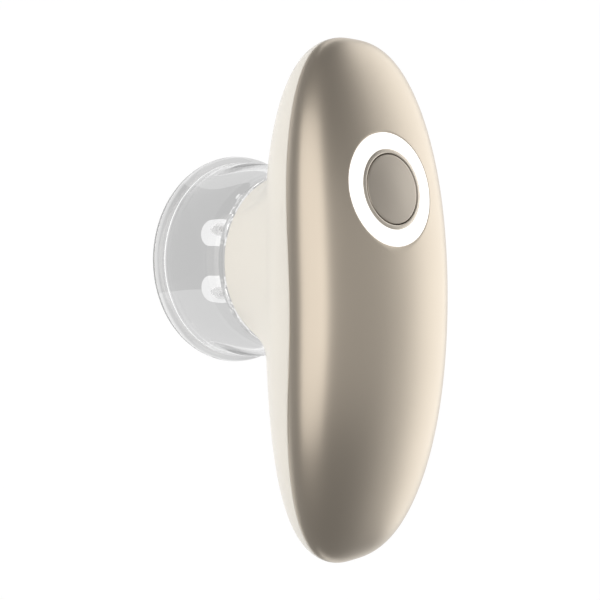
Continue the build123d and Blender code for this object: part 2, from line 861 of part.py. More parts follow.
def air_tube(side, end):
    """Silicone tube from a nozzle on the pin plate, up and round to a nozzle that points to -X."""
    foot = (cup_offset, side, partition_top + tube_end_gap)
    with BuildPart() as tube:
        with BuildLine() as route:
            FilletPolyline(foot, (cup_offset, side, port_height), (end - tube_end_gap, side, port_height),
                           radius=tube_bend)
        with BuildSketch(Plane(origin=foot, z_dir=(0, 0, 1))):
            Circle(tube_radius)
            Circle(tube_bore, mode=Mode.SUBTRACT)
        sweep(path=route.wire())
    return tube


write(air_tube(0, head_start), "suction_tube")
write(air_tube(release_port_side, valve_start), "release_tube")

# Pin plate: closes the neck inside the cup's collar and carries both nozzles
with BuildPart() as pin_plate:
    with BuildSketch(Plane.XY.offset(plate_face_height)):
        with Locations((cup_offset, 0)):
            Circle(plate_radius)
    extrude(amount=plate_top - plate_face_height)
    with BuildSketch(Plane.XY.offset(plate_face_height + plate_floor)):
        with Locations((cup_offset, 0)):
            Circle(plate_radius - plate_rim_wall)
            with PolarLocations(plate_post_circle, plate_post_count, plate_post_angle):
                Circle(plate_post_radius, mode=Mode.SUBTRACT)
        with Locations((cup_offset, 0), (cup_offset, release_port_side)):
            Circle(hub_radius, mode=Mode.SUBTRACT)
    extrude(amount=plate_top - plate_face_height - plate_floor, mode=Mode.SUBTRACT)
    with BuildSketch(Plane.XY.offset(plate_top)):
        with Locations((cup_offset, 0), (cup_offset, release_port_side)):
            Circle(nozzle_radius)
    extrude(amount=nozzle_top - plate_top)
    with BuildSketch(Plane.XY.offset(plate_face_height)):
        with Locations((cup_offset, 0), (cup_offset, release_port_side)):
            Circle(nozzle_bore)
    extrude(amount=nozzle_top - plate_face_height, mode=Mode.SUBTRACT)
    with BuildSketch(Plane.XY.offset(plate_face_height)):
        with Locations((cup_offset, 0)):
            Circle(filter_radius + seat_gap)
    extrude(amount=filter_thickness, mode=Mode.SUBTRACT)
    with BuildSketch(Plane.XY.offset(plate_face_height)):
        with Locations((cup_offset, 0)):
            with PolarLocations(pin_circle_radius, pin_count):
                Circle(pin_shank_radius + seat_gap)
    extrude(amount=plate_floor, mode=Mode.SUBTRACT)
    with BuildSketch(Plane.XY.offset(plate_top)):
        with Locations((cup_offset, 0)):
            with PolarLocations(plate_post_circle, plate_post_count, plate_post_angle):
                Circle(small_screw_radius + seat_gap)
    extrude(amount=partition_top - plate_top - plate_screw_length - seat_gap, mode=Mode.SUBTRACT)
    with BuildSketch(Plane.XZ):
        with Locations((cup_offset + plate_radius, seal_height)):
            Rectangle(2 * seal_groove_depth, 2 * (seal_section_radius + seat_gap))
    revolve(axis=cup_axis, mode=Mode.SUBTRACT)
write(pin_plate, "pin_plate")

with BuildPart() as massage_pins:
    with Locations((cup_offset, 0, pin_tip_height)):
        with PolarLocations(pin_circle_radius, pin_count):
            Cylinder(
                pin_radius, plate_face_height - pin_tip_height, align=(Align.CENTER, Align.CENTER, Align.MIN)
            )
    tip_edges = massage_pins.edges().filter_by(GeomType.CIRCLE).group_by(Axis.Z)[0]
    fillet(tip_edges, radius=pin_dome)
    with Locations((cup_offset, 0, plate_face_height)):
        with PolarLocations(pin_circle_radius, pin_count):
            Cylinder(pin_shank_radius, pin_shank_length, align=(Align.CENTER, Align.CENTER, Align.MIN))
write(massage_pins, "massage_pins")

with BuildPart() as pin_washers:
    with BuildSketch(Plane.XY.offset(plate_face_height + plate_floor)):
        with Locations((cup_offset, 0)):
            with PolarLocations(pin_circle_radius, pin_count):
                Circle(washer_radius)
                Circle(pin_shank_radius + seat_gap, mode=Mode.SUBTRACT)
            Circle(plate_radius - plate_rim_wall, mode=Mode.INTERSECT)
    extrude(amount=washer_thickness)
write(pin_washers, "pin_washers")

with BuildPart() as air_filter:
    with BuildSketch(Plane.XY.offset(plate_face_height)):
        with Locations((cup_offset, 0)):
            Circle(filter_radius)
    extrude(amount=filter_thickness)
write(air_filter, "air_filter")

with BuildPart() as plate_gasket:
    with BuildSketch(Plane.XY.offset(plate_top)):
        with Locations((cup_offset, 0)):
            Circle(plate_radius - seat_gap)
            Circle(plate_radius - gasket_width, mode=Mode.SUBTRACT)
    extrude(amount=gasket_thickness)
write(plate_gasket, "plate_gasket")

plate_screw_places = [
    Location(Vector(cup_offset, 0, partition_top)
             + Vector(plate_post_circle, 0).rotate(Axis.Z, plate_post_angle + 360 / plate_post_count * i))
    for i in range(plate_post_count)
]
plate_screws = screw_group(
    plate_screw_places, small_screw_radius, plate_screw_length, small_head_radius, small_head_height, True
)
write(plate_screws, "plate_screws")

seal_circle = plate_radius - seal_groove_depth + seat_gap + seal_section_radius
with BuildPart() as cup_seal_ring:
    with BuildSketch(Plane.XZ):
        with Locations((cup_offset + seal_circle, seal_height)):
            Circle(seal_section_radius)
    revolve(axis=cup_axis)
write(cup_seal_ring, "cup_seal_ring")

# Clear suction cup: collar, stepped shoulder, bell and thick rounded rim
with BuildPart() as suction_cup:
    with BuildSketch(Plane.XZ):
        with BuildLine():
            collar_top = cup_shoulder_top + collar_length
            mouth_radius = rim_radius - rim_thickness
            foot_radius = (rim_radius + mouth_radius) / 2
            ceiling = shoulder_height - cup_wall / 3
            collar = Polyline(
                (collar_inner_radius, ceiling),
                (collar_inner_radius, collar_top),
                (collar_outer_radius, collar_top),
                (collar_outer_radius, cup_shoulder_top),
                (neck_radius, cup_shoulder_top),
                (neck_radius, shoulder_height),
            )
            shoulder_foot = (neck_radius + shoulder_reach, shoulder_height - shoulder_drop)
            bell = TangentArc((bell_radius, rim_height), shoulder_foot, tangent=(0, 1))
            TangentArc(bell @ 1, collar @ 1, tangent=bell % 1)
            brow_middle = ((bell_radius + rim_radius) / 2, rim_height * 3 / 4)
            brow = TangentArc(bell @ 0, brow_middle, tangent=(0, -1))
            brow_end = TangentArc(brow @ 1, (rim_radius, rim_height / 2), tangent=brow % 1)
            TangentArc(brow_end @ 1, (foot_radius + rim_flat / 2, 0), tangent=(0, -1))
            Line((foot_radius + rim_flat / 2, 0), (foot_radius - rim_flat / 2, 0))
            lip = TangentArc((mouth_radius, cup_wall), (foot_radius - rim_flat / 2, 0), tangent=(0, -1))
            inner_turn = (collar_inner_radius + ceiling_reach, ceiling - ceiling_turn)
            inner_bell = TangentArc(lip @ 0, inner_turn, tangent=(0, 1))
            TangentArc(inner_bell @ 1, collar @ 0, tangent=inner_bell % 1)
        make_face()
    revolve(axis=Axis.Z)
suction_cup.part.position = (cup_offset, 0, 0)
write(suction_cup, "suction_cup")

# Charging socket on its small board in the handle's tip
with BuildPart() as charging_board:
    with BuildSketch(Plane.XY.offset(charging_board_height)):
        with Locations((charging_board_centre, 0)):
            Rectangle(charging_board_length, charging_board_width)
        with Locations((charging_board_start + main_board_inset, 0)):
            with GridLocations(0, charging_board_width - 2 * post_radius, 1, 2):
                Circle(small_screw_radius + plunger_gap, mode=Mode.SUBTRACT)
    extrude(amount=board_thickness)
write(charging_board, "charging_board")

with BuildPart() as charging_socket:
    with BuildSketch(Plane.YZ.offset(socket_mouth)):
        with Locations((0, socket_centre_height)):
            RectangleRounded(socket_width, socket_height, socket_height / 2 - socket_wall)
    extrude(amount=-socket_length)
    with BuildSketch(Plane.YZ.offset(socket_mouth)):
        with Locations((0, socket_centre_height)):
            RectangleRounded(
                socket_width - 2 * socket_wall,
                socket_height - 2 * socket_wall,
                socket_height / 2 - 2 * socket_wall,
            )
    extrude(amount=2 * socket_wall - socket_length, mode=Mode.SUBTRACT)
    with BuildSketch(Plane.YZ.offset(socket_mouth - socket_length + socket_wall)):
        with Locations((0, socket_centre_height)):
            Rectangle(socket_tongue_width, socket_tongue_thickness)
    extrude(amount=socket_length - 3 * socket_wall)
write(charging_socket, "charging_socket")

charging_screw_places = [
    Location((charging_board_start + main_board_inset, side * (charging_board_width / 2 - post_radius),
              charging_board_top))
    for side in (-1, 1)
]
charging_board_screws = screw_group(
    charging_screw_places, small_screw_radius, small_screw_length, small_head_radius, small_head_height, True
)
write(charging_board_screws, "charging_board_screws")

# Screws that close the housing from the back, and the caps that hide them
housing_seats = [
    Location((x, y, parting_z(x) + housing_screw_grip - housing_screw_length))
    for x, y in housing_screw_places
]
housing_screws = screw_group(
    housing_seats, housing_screw_radius, housing_screw_length, housing_head_radius, housing_head_height, False
)
write(housing_screws, "housing_screws")

with BuildPart() as screw_caps:
    for x, y in housing_screw_places:
        with BuildSketch(Plane.XY.offset(back_z(x, y) + cap_thickness)):
            with Locations((x, y)):
                Circle(housing_head_radius + seat_gap)
        extrude(amount=-4 * cap_thickness)
    add(body_solid(0), mode=Mode.INTERSECT)
write(screw_caps, "screw_caps")
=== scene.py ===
import json
import math

import bmesh
import bpy
import numpy as np
from mathutils import Matrix, Vector


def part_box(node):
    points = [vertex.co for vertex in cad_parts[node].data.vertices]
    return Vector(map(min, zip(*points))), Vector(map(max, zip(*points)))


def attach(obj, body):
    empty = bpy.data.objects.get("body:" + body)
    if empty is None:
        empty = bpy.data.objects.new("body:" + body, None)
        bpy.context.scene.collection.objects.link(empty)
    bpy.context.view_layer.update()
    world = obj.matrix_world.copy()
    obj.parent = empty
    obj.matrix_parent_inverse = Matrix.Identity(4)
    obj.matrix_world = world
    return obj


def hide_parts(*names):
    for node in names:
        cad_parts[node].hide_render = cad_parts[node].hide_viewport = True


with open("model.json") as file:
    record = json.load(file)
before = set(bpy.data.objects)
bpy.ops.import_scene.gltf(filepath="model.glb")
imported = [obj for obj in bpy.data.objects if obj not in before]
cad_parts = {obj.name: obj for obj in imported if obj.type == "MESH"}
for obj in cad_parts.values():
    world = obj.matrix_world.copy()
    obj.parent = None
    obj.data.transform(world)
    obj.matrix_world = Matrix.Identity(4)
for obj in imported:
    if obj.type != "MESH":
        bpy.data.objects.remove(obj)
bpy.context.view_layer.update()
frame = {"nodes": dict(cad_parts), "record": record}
print("frame loaded:", len(frame["nodes"]), "nodes")

mm = 0.001
mergeDistance = 0.001 * mm
sharpAngle = math.radians(35)     # edges that bend more than this stay crisp
scene = bpy.context.scene
scene.view_settings.view_transform = "Standard"

# The body is one smooth form: an outline, a crown and a back, each a rounded oval
bodyForm = {
    "halfLength": 82.5 * mm,
    "halfWidth": 33.4 * mm,
    "frontHeight": 16 * mm,
    "rearDepth": 23.6 * mm,
    "partingHeight": 63.5 * mm,
    "partingDrop": 4.7 * mm,      # the parting line bows down towards both tips
    "outlinePower": 2.86,
    "frontPower": 1.85,
    "rearPower": 2.32,
    "frontFullness": 0.71,
    "rearFullness": 0.61,
    "rearLean": 0.15,             # the back is a little deeper towards the button
    # by how much the ovals are trimmed at the tips, and with which power of the way there
    "widthTrim": ((-0.078, 2), (-0.1, 45)),
    "crownTrim": ((-0.06, 6), (0.24, 60)),
    "depthTrim": ((0.08, 3), (-0.08, 10)),
    "seamLift": 3.1 * mm,
    "seamReach": 0.46,
    "wall": 2.2 * mm,
    "columns": 384,               # round the outline
    "samples": 500,               # along a line that is laid on the surface
    "halvings": 40,               # to find a place along a rounded quarter
}
cupAxisX = (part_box("suction_cup")[0].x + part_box("suction_cup")[1].x) / 2


def ovalReach(reach, share, power):
    return reach * np.maximum(0, 1 - np.abs(share) ** power) ** (1 / power)


def tipTrim(share, name):
    # 1 in the body's middle
    way = np.clip(np.abs(share), 0, 1)
    return 1 + sum(amount * way ** power for amount, power in bodyForm[name])


def widthAt(share, inset):
    oval = ovalReach(bodyForm["halfWidth"] - inset, share, bodyForm["outlinePower"])
    return oval * tipTrim(share, "widthTrim")


def crownAt(share, inset):
    oval = ovalReach(bodyForm["frontHeight"] - inset, share, bodyForm["frontPower"])
    return oval * tipTrim(share, "crownTrim")


def depthAt(share, inset):
    oval = ovalReach(bodyForm["rearDepth"] - inset, share, bodyForm["rearPower"])
    return oval * tipTrim(share, "depthTrim") * (1 - bodyForm["rearLean"] * share * (1 - share * share))


def partingZ(x):
    return bodyForm["partingHeight"] - bodyForm["partingDrop"] * (x / bodyForm["halfLength"]) ** 2


def quarterAcross(t, full):
    # a rounded quarter runs from the widest line at t = 0 to the middle of the crown or back
    return (1 - t) ** 3 + 3 * (1 - t) ** 2 * t + 3 * full * (1 - t) * t * t


def quarterUp(t, full):
    return 3 * full * (1 - t) ** 2 * t + 3 * (1 - t) * t * t + t ** 3


def halve(tooFar, shape):
    # the largest t that isn't too far yet
    low, high = np.zeros(shape), np.ones(shape)
    for _ in range(bodyForm["halvings"]):
        t = (low + high) / 2
        beyond = tooFar(t)
        low, high = np.where(beyond, low, t), np.where(beyond, t, high)
    return t


def bodyZ(x, y, inset=0.0, back=False):
    # height of the front or back surface over points of the plan
    share = np.clip(x / (bodyForm["halfLength"] - inset), -1, 1)
    rise = depthAt(share, inset) if back else crownAt(share, inset)
    full = bodyForm["rearFullness"] if back else bodyForm["frontFullness"]
    across = np.clip(np.abs(y) / np.maximum(widthAt(share, inset), 1e-9), 0, 1)
    t = halve(lambda t: quarterAcross(t, full) <= across, across.shape)
    lift = rise * quarterUp(t, full)
    return partingZ(x) - lift if back else partingZ(x) + lift


def outlineAt(turns, inset=0.0):
    # points of the parting line, seen from the front
    bend = 2 / bodyForm["outlinePower"]
    c, s = np.cos(turns), np.sin(turns)
    x = (bodyForm["halfLength"] - inset) * np.sign(c) * np.abs(c) ** bend
    y = (bodyForm["halfWidth"] - inset) * np.sign(s) * np.abs(s) ** bend
    y = y * tipTrim(x / (bodyForm["halfLength"] - inset), "widthTrim")
    return np.stack([x, y, partingZ(x)], 1)


def seamHeight(turns):
    # the two shells meet above the widest line along the body's middle
    share = outlineAt(turns)[:, 0] / bodyForm["halfLength"]
    return bodyForm["seamLift"] * np.exp(-(share / bodyForm["seamReach"]) ** 2)


def sideAt(turns, height, inset=0.0):
    # points of the front surface's side, at a height over the widest line
    line = outlineAt(turns, inset)
    share = line[:, 0] / (bodyForm["halfLength"] - inset)
    full = bodyForm["frontFullness"]
    wanted = np.maximum(height, 0) / np.maximum(crownAt(share, inset), 1e-6)
    t = halve(lambda t: quarterUp(t, full) > wanted, wanted.shape)
    line[:, 1] *= quarterAcross(t, full)
    line[:, 2] += height
    return line


def evenTurns(count):
    # turns that space the outline's points evenly along its length
    turns = np.linspace(0, 2 * math.pi, 1 + 2 ** 14)
    steps = np.linalg.norm(np.diff(outlineAt(turns), axis=0), axis=1)
    along = np.concatenate([[0], np.cumsum(steps)])
    return np.interp(np.arange(count) / count * along[-1], along, turns)


def evenRows(path, count, crowd):
    # path is samples x columns x 3; rows crowd towards the path's end
    steps = np.linalg.norm(np.diff(path, axis=0), axis=2)
    along = np.concatenate([np.zeros((1, path.shape[1])), np.cumsum(steps, axis=0)])
    wanted = 1 - (1 - np.linspace(0, 1, count)) ** crowd
    rows = np.empty((count, path.shape[1], 3))
    for column in range(path.shape[1]):
        places = wanted * along[-1, column]
        for axis in range(3):
            rows[:, column, axis] = np.interp(places, along[:, column], path[:, column, axis])
    return rows


def surfacePath(starts, ends, inset=0.0, back=False, samples=bodyForm["samples"]):
    # straight lines in plan, laid on the body's surface
    way = np.sin(np.linspace(0, math.pi / 2, samples))[:, None]
    x = starts[:, 0] + (ends[:, 0] - starts[:, 0]) * way
    y = starts[:, 1] + (ends[:, 1] - starts[:, 1]) * way
    return np.stack([x, y, bodyZ(x, y, inset, back)], 2)


def rowsMesh(rows, closeLoop=True):
    # a grid whose rows run round the piece, closed across its seam
    rows = [np.asarray(row) for row in rows]
    if closeLoop:
        rows.append(rows[0])
    columns = len(rows[0])
    bm = bmesh.new()
    bmesh.ops.create_grid(bm, x_segments=columns, y_segments=len(rows) - 1, size=1)
    bm.verts.ensure_lookup_table()
    for r, row in enumerate(rows):
        for c in range(columns + 1):
            bm.verts[r * (columns + 1) + c].co = row[c % columns]
    bmesh.ops.remove_doubles(bm, verts=bm.verts, dist=mergeDistance)
    bmesh.ops.recalc_face_normals(bm, faces=bm.faces)
    return bm


def bezier(p0, p1, p2, p3, count):
    # count points of a cubic, without its first
    t = np.linspace(0, 1, count + 1)[1:, None]
    p0, p1, p2, p3 = map(np.array, (p0, p1, p2, p3))
    return [*((1 - t) ** 3 * p0 + 3 * (1 - t) ** 2 * t * p1 + 3 * (1 - t) * t * t * p2 + t ** 3 * p3)]


def roundCorner(start, corner, end, count):
    # a quadratic, written as a cubic
    start, corner, end = map(np.array, (start, corner, end))
    return bezier(start, (start + 2 * corner) / 3, (end + 2 * corner) / 3, end, count)


def spunMesh(profile, centre, steps, closed):
    # profile is (radius, height) points; spun round a standing axis
    bm = bmesh.new()
    verts = [bm.verts.new((centre[0] + r, centre[1], z)) for r, z in profile]
    pairs = list(zip(verts, verts[1:] + verts[:1] if closed else verts[1:]))
    edges = [bm.edges.new(pair) for pair in pairs]
    bmesh.ops.spin(
        bm, geom=verts + edges, cent=(centre[0], centre[1], 0), axis=(0, 0, 1),
        angle=2 * math.pi, steps=steps, use_merge=True,
    )
    bmesh.ops.remove_doubles(bm, verts=bm.verts, dist=mergeDistance)
    bmesh.ops.recalc_face_normals(bm, faces=bm.faces)
    return bm


def addPiece(name, bm, body, replaced, slotName):
    for face in bm.faces:
        face.smooth = True
    for edge in bm.edges:
        edge.smooth = edge.calc_face_angle(0) < sharpAngle
    mesh = bpy.data.meshes.new(name)
    bm.to_mesh(mesh)
    bm.free()
    piece = bpy.data.objects.new(name, mesh)
    scene.collection.objects.link(piece)
    mesh.materials.append(finishes[slotName])
    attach(piece, body)
    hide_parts(*replaced)
    return piece


# Finishes share three effects: a fine grain, a slow drift of tone, and painted light glowing in the cup's
# rim
grainEffect = {"detail": 3, "roughness": 0.6, "contrast": 1.5, "middle": 0.5, "strength": 0.5}
driftEffect = {"detail": 2, "scale": 30}
rimEffect = {
    "reach": 8 * mm,              # the share of this height, and the painted glow there
    "stops": ((0.0, 0.0), (0.1, 0.03), (0.18, 0.17), (0.42, 0.19), (0.52, 0.04), (0.7, 0.0)),
}


def makeGrainGroup():
    group = bpy.data.node_groups.new("fineGrain", "ShaderNodeTree")
    group.interface.new_socket("Scale", in_out="INPUT", socket_type="NodeSocketFloat")
    group.interface.new_socket("Contrast", in_out="INPUT", socket_type="NodeSocketFloat")
    group.interface.new_socket("Grain", in_out="OUTPUT", socket_type="NodeSocketFloat")
    nodes, links = group.nodes, group.links
    inputs, outputs = nodes.new("NodeGroupInput"), nodes.new("NodeGroupOutput")
    place = nodes.new("ShaderNodeTexCoord")
    noise = nodes.new("ShaderNodeTexNoise")
    noise.inputs["Detail"].default_value = grainEffect["detail"]
    noise.inputs["Roughness"].default_value = grainEffect["roughness"]
    centred = nodes.new("ShaderNodeMath")
    centred.operation = "SUBTRACT"
    centred.inputs[1].default_value = grainEffect["middle"]
    spread = nodes.new("ShaderNodeMath")
    spread.operation = "MULTIPLY_ADD"      # centred noise * contrast + middle
    spread.inputs[2].default_value = grainEffect["middle"]
    links.new(place.outputs["Object"], noise.inputs["Vector"])
    links.new(inputs.outputs["Scale"], noise.inputs["Scale"])
    links.new(noise.outputs["Fac"], centred.inputs[0])
    links.new(centred.outputs[0], spread.inputs[0])
    links.new(inputs.outputs["Contrast"], spread.inputs[1])
    links.new(spread.outputs[0], outputs.inputs["Grain"])
    return group


def makeDriftGroup():
    group = bpy.data.node_groups.new("toneDrift", "ShaderNodeTree")
    for name in ("Tone", "Other Tone"):
        group.interface.new_socket(name, in_out="INPUT", socket_type="NodeSocketColor")
    group.interface.new_socket("Scale", in_out="INPUT", socket_type="NodeSocketFloat")
    group.interface.new_socket("Smooth", in_out="INPUT", socket_type="NodeSocketFloat")
    group.interface.new_socket("Rough", in_out="INPUT", socket_type="NodeSocketFloat")
    group.interface.new_socket("Color", in_out="OUTPUT", socket_type="NodeSocketColor")
    group.interface.new_socket("Roughness", in_out="OUTPUT", socket_type="NodeSocketFloat")
    nodes, links = group.nodes, group.links
    inputs, outputs = nodes.new("NodeGroupInput"), nodes.new("NodeGroupOutput")
    place = nodes.new("ShaderNodeTexCoord")
    noise = nodes.new("ShaderNodeTexNoise")
    noise.inputs["Detail"].default_value = driftEffect["detail"]
    blend = nodes.new("ShaderNodeMix")
    blend.data_type = "RGBA"
    wear = nodes.new("ShaderNodeMapRange")
    links.new(place.outputs["Object"], noise.inputs["Vector"])
    links.new(inputs.outputs["Scale"], noise.inputs["Scale"])
    links.new(noise.outputs["Fac"], blend.inputs["Factor"])
    links.new(inputs.outputs["Tone"], blend.inputs["A"])
    links.new(inputs.outputs["Other Tone"], blend.inputs["B"])
    links.new(noise.outputs["Fac"], wear.inputs["Value"])
    links.new(inputs.outputs["Smooth"], wear.inputs["To Min"])
    links.new(inputs.outputs["Rough"], wear.inputs["To Max"])
    links.new(blend.outputs["Result"], outputs.inputs["Color"])
    links.new(wear.outputs["Result"], outputs.inputs["Roughness"])
    return group


def makeRimGroup():
    # painted light: an emission glow in the thick rim of the clear cup, by height above its mouth, standing
    # in for light the rim gathers
    group = bpy.data.node_groups.new("rimLight", "ShaderNodeTree")
    group.interface.new_socket("Color", in_out="OUTPUT", socket_type="NodeSocketColor")
    nodes, links = group.nodes, group.links
    outputs = nodes.new("NodeGroupOutput")
    place = nodes.new("ShaderNodeTexCoord")
    along = nodes.new("ShaderNodeSeparateXYZ")
    height = nodes.new("ShaderNodeMapRange")
    height.inputs["From Max"].default_value = rimEffect["reach"]
    ramp = nodes.new("ShaderNodeValToRGB")
    stops = ramp.color_ramp.elements
    for position, level in rimEffect["stops"][1:-1]:
        stops.new(position)
    for stop, (position, level) in zip(stops, rimEffect["stops"]):
        stop.position = position
        stop.color = (level, level, level, 1)
    links.new(place.outputs["Object"], along.inputs[0])
    links.new(along.outputs["Z"], height.inputs["Value"])
    links.new(height.outputs["Result"], ramp.inputs["Fac"])
    links.new(ramp.outputs["Color"], outputs.inputs["Color"])
    return group


grainGroup = makeGrainGroup()
driftGroup = makeDriftGroup()
rimGroup = makeRimGroup()


plainLook = {"metallic": 0, "ior": 1.5, "coat": 0, "coatRoughness": 0.1, "clear": 0, "toneShift": 0.94}


def makeFinish(name, look):
    look = {**plainLook, **look}
    material = bpy.data.materials.new(name)
    material.use_nodes = True
    nodes, links = material.node_tree.nodes, material.node_tree.links
    shader = nodes["Principled BSDF"]
    shader.inputs["Metallic"].default_value = look["metallic"]
    shader.inputs["IOR"].default_value = look["ior"]
    shader.inputs["Coat Weight"].default_value = look["coat"]
    shader.inputs["Coat Roughness"].default_value = look["coatRoughness"]
    shader.inputs["Transmission Weight"].default_value = look["clear"]
    if "glow" in look:
        shader.inputs["Emission Color"].default_value = (1, 1, 1, 1)
        shader.inputs["Emission Strength"].default_value = look["glow"]
    drift = nodes.new("ShaderNodeGroup")
    drift.node_tree = driftGroup
    drift.inputs["Tone"].default_value = (*look["tone"], 1)
    drift.inputs["Other Tone"].default_value = (*[look["toneShift"] * part for part in look["tone"]], 1)
    drift.inputs["Scale"].default_value = driftEffect["scale"]
    drift.inputs["Smooth"].default_value = look["roughness"][0]
    drift.inputs["Rough"].default_value = look["roughness"][1]
    links.new(drift.outputs["Color"], shader.inputs["Base Color"])
    links.new(drift.outputs["Roughness"], shader.inputs["Roughness"])
    # painted light: the cup's rim glows by height through emission
    if look.get("rimLight"):
        rim = nodes.new("ShaderNodeGroup")
        rim.node_tree = rimGroup
        shader.inputs["Emission Strength"].default_value = 1
        links.new(rim.outputs["Color"], shader.inputs["Emission Color"])
    if "grainDepth" in look:
        grain = nodes.new("ShaderNodeGroup")
        grain.node_tree = grainGroup
        grain.inputs["Scale"].default_value = look["grainScale"]
        grain.inputs["Contrast"].default_value = grainEffect["contrast"]
        bump = nodes.new("ShaderNodeBump")
        bump.inputs["Distance"].default_value = look["grainDepth"] * mm
        bump.inputs["Strength"].default_value = grainEffect["strength"]
        links.new(grain.outputs["Grain"], bump.inputs["Height"])
        links.new(bump.outputs["Normal"], shader.inputs["Normal"])
    return material


finishLooks = {
    "champagne": {
        "tone": (0.62, 0.555, 0.47), "metallic": 0.85, "roughness": (0.30, 0.36),
        "grainScale": 9000, "grainDepth": 0.004, "toneShift": 0.98,
    },
    "pearl_white": {
        "tone": (0.78, 0.757, 0.702), "roughness": (0.30, 0.38), "coat": 0.25, "coatRoughness": 0.2,
        "grainScale": 6000, "grainDepth": 0.003, "toneShift": 0.97,
    },
    "ring_white": {"tone": (0.92, 0.92, 0.92), "roughness": (0.18, 0.24), "glow": 0.6, "toneShift": 0.99},
    "bezel_champagne": {
        "tone": (0.66, 0.61, 0.54), "metallic": 0.8, "roughness": (0.26, 0.32), "toneShift": 0.97,
    },
    "button_champagne": {
        "tone": (0.50, 0.457, 0.403), "metallic": 0.8, "roughness": (0.34, 0.40),
        "grainScale": 9000, "grainDepth": 0.004, "toneShift": 0.97,
    },
    "clear_plastic": {
        "tone": (0.93, 0.93, 0.93), "clear": 1, "ior": 1.49, "roughness": (0.01, 0.03),
        "toneShift": 0.995, "rimLight": True,
    },
    "pin_chrome": {"tone": (0.95, 0.95, 0.95), "metallic": 1, "roughness": (0.03, 0.06), "toneShift": 0.98},
    "plate_grey": {
        "tone": (0.62, 0.62, 0.61), "roughness": (0.40, 0.50),
        "grainScale": 2500, "grainDepth": 0.01,
    },
    "white_plastic": {"tone": (0.80, 0.80, 0.78), "roughness": (0.45, 0.55)},
    "dark_plastic": {
        "tone": (0.05, 0.05, 0.05), "roughness": (0.42, 0.55),
        "grainScale": 2500, "grainDepth": 0.01,
    },
    "board_green": {"tone": (0.03, 0.16, 0.07), "roughness": (0.28, 0.38), "coat": 0.4, "toneShift": 0.8},
    "led_yellow": {"tone": (0.75, 0.68, 0.35), "roughness": (0.2, 0.3)},
    "chip_black": {
        "tone": (0.03, 0.03, 0.03), "roughness": (0.45, 0.55),
        "grainScale": 4000, "grainDepth": 0.01,
    },
    "screw_steel": {"tone": (0.58, 0.58, 0.57), "metallic": 1, "roughness": (0.25, 0.38), "toneShift": 0.9},
    "cell_wrap": {"tone": (0.20, 0.32, 0.45), "metallic": 0.5, "roughness": (0.3, 0.42)},
    "foam_grey": {
        "tone": (0.20, 0.20, 0.20), "roughness": (0.85, 0.95),
        "grainScale": 1500, "grainDepth": 0.08,
    },
    "rubber_black": {
        "tone": (0.04, 0.04, 0.04), "roughness": (0.6, 0.75),
        "grainScale": 1800, "grainDepth": 0.02,
    },
    "silicone_clear": {"tone": (0.72, 0.72, 0.70), "clear": 0.5, "ior": 1.41, "roughness": (0.25, 0.4)},
    "motor_steel": {"tone": (0.55, 0.55, 0.54), "metallic": 1, "roughness": (0.28, 0.4), "toneShift": 0.9},
    "magnet_grey": {"tone": (0.12, 0.12, 0.12), "roughness": (0.6, 0.7)},
    "filter_felt": {
        "tone": (0.75, 0.75, 0.72), "roughness": (0.9, 0.98),
        "grainScale": 2200, "grainDepth": 0.12,
    },
    "socket_steel": {
        "tone": (0.66, 0.66, 0.66), "metallic": 1, "roughness": (0.22, 0.32), "toneShift": 0.93,
    },
}
finishes = {name: makeFinish(name, look) for name, look in finishLooks.items()}
for entry in frame["record"]["subparts"]:
    node = frame["nodes"][entry["node"]]
    node.data.materials.clear()
    node.data.materials.append(finishes[entry["material_slot"]])
print("finishes made:", len(finishes))


# The button's plane touches the crown at the button's centre
buttonPlace = {
    "x": -35.5 * mm,
    "holeRadius": 17.5 * mm,
    "tries": 25,                  # to meet the crown along the button's axis
}


def crownZ(x):
    return float(bodyZ(np.array([x]), np.array([0.0]))[0])


buttonTilt = math.atan((crownZ(buttonPlace["x"] + mm) - crownZ(buttonPlace["x"] - mm)) / (2 * mm))
buttonX = np.array([math.cos(buttonTilt), 0, math.sin(buttonTilt)])
buttonUp = np.array([-math.sin(buttonTilt), 0, math.cos(buttonTilt)])
buttonCentre = np.array([buttonPlace["x"], 0, crownZ(buttonPlace["x"])])


def roundTheButton(radius, turns, depth=None):
    # a circle about the button's axis, at a depth below its plane or else on the crown
    flat = (buttonCentre + radius * np.cos(turns)[:, None] * buttonX
            + radius * np.sin(turns)[:, None] * np.array([0, 1, 0]))
    if depth is not None:
        return flat - depth * buttonUp
    height = np.zeros(len(turns))
    for _ in range(buttonPlace["tries"]):
        point = flat + height[:, None] * buttonUp
        height -= (point[:, 2] - bodyZ(point[:, 0], point[:, 1])) / buttonUp[2]
    return flat + height[:, None] * buttonUp


coverLook = {
    "rows": 96,
    "rowCrowding": 1.6,
    "innerRows": 26,
    "edgeRound": 0.16 * mm,       # round the light ring's hole
    "seamRound": 0.22 * mm,       # along the parting line
    "seamGap": 0.03 * mm,
    "seamRows": 4,                # of the crown, that make way for the rounded seam
    "holeDepth": 1.98 * mm,
}
edgeMiddle = 0.3                  # how far in and down a rounded edge's middle row lies, as a share


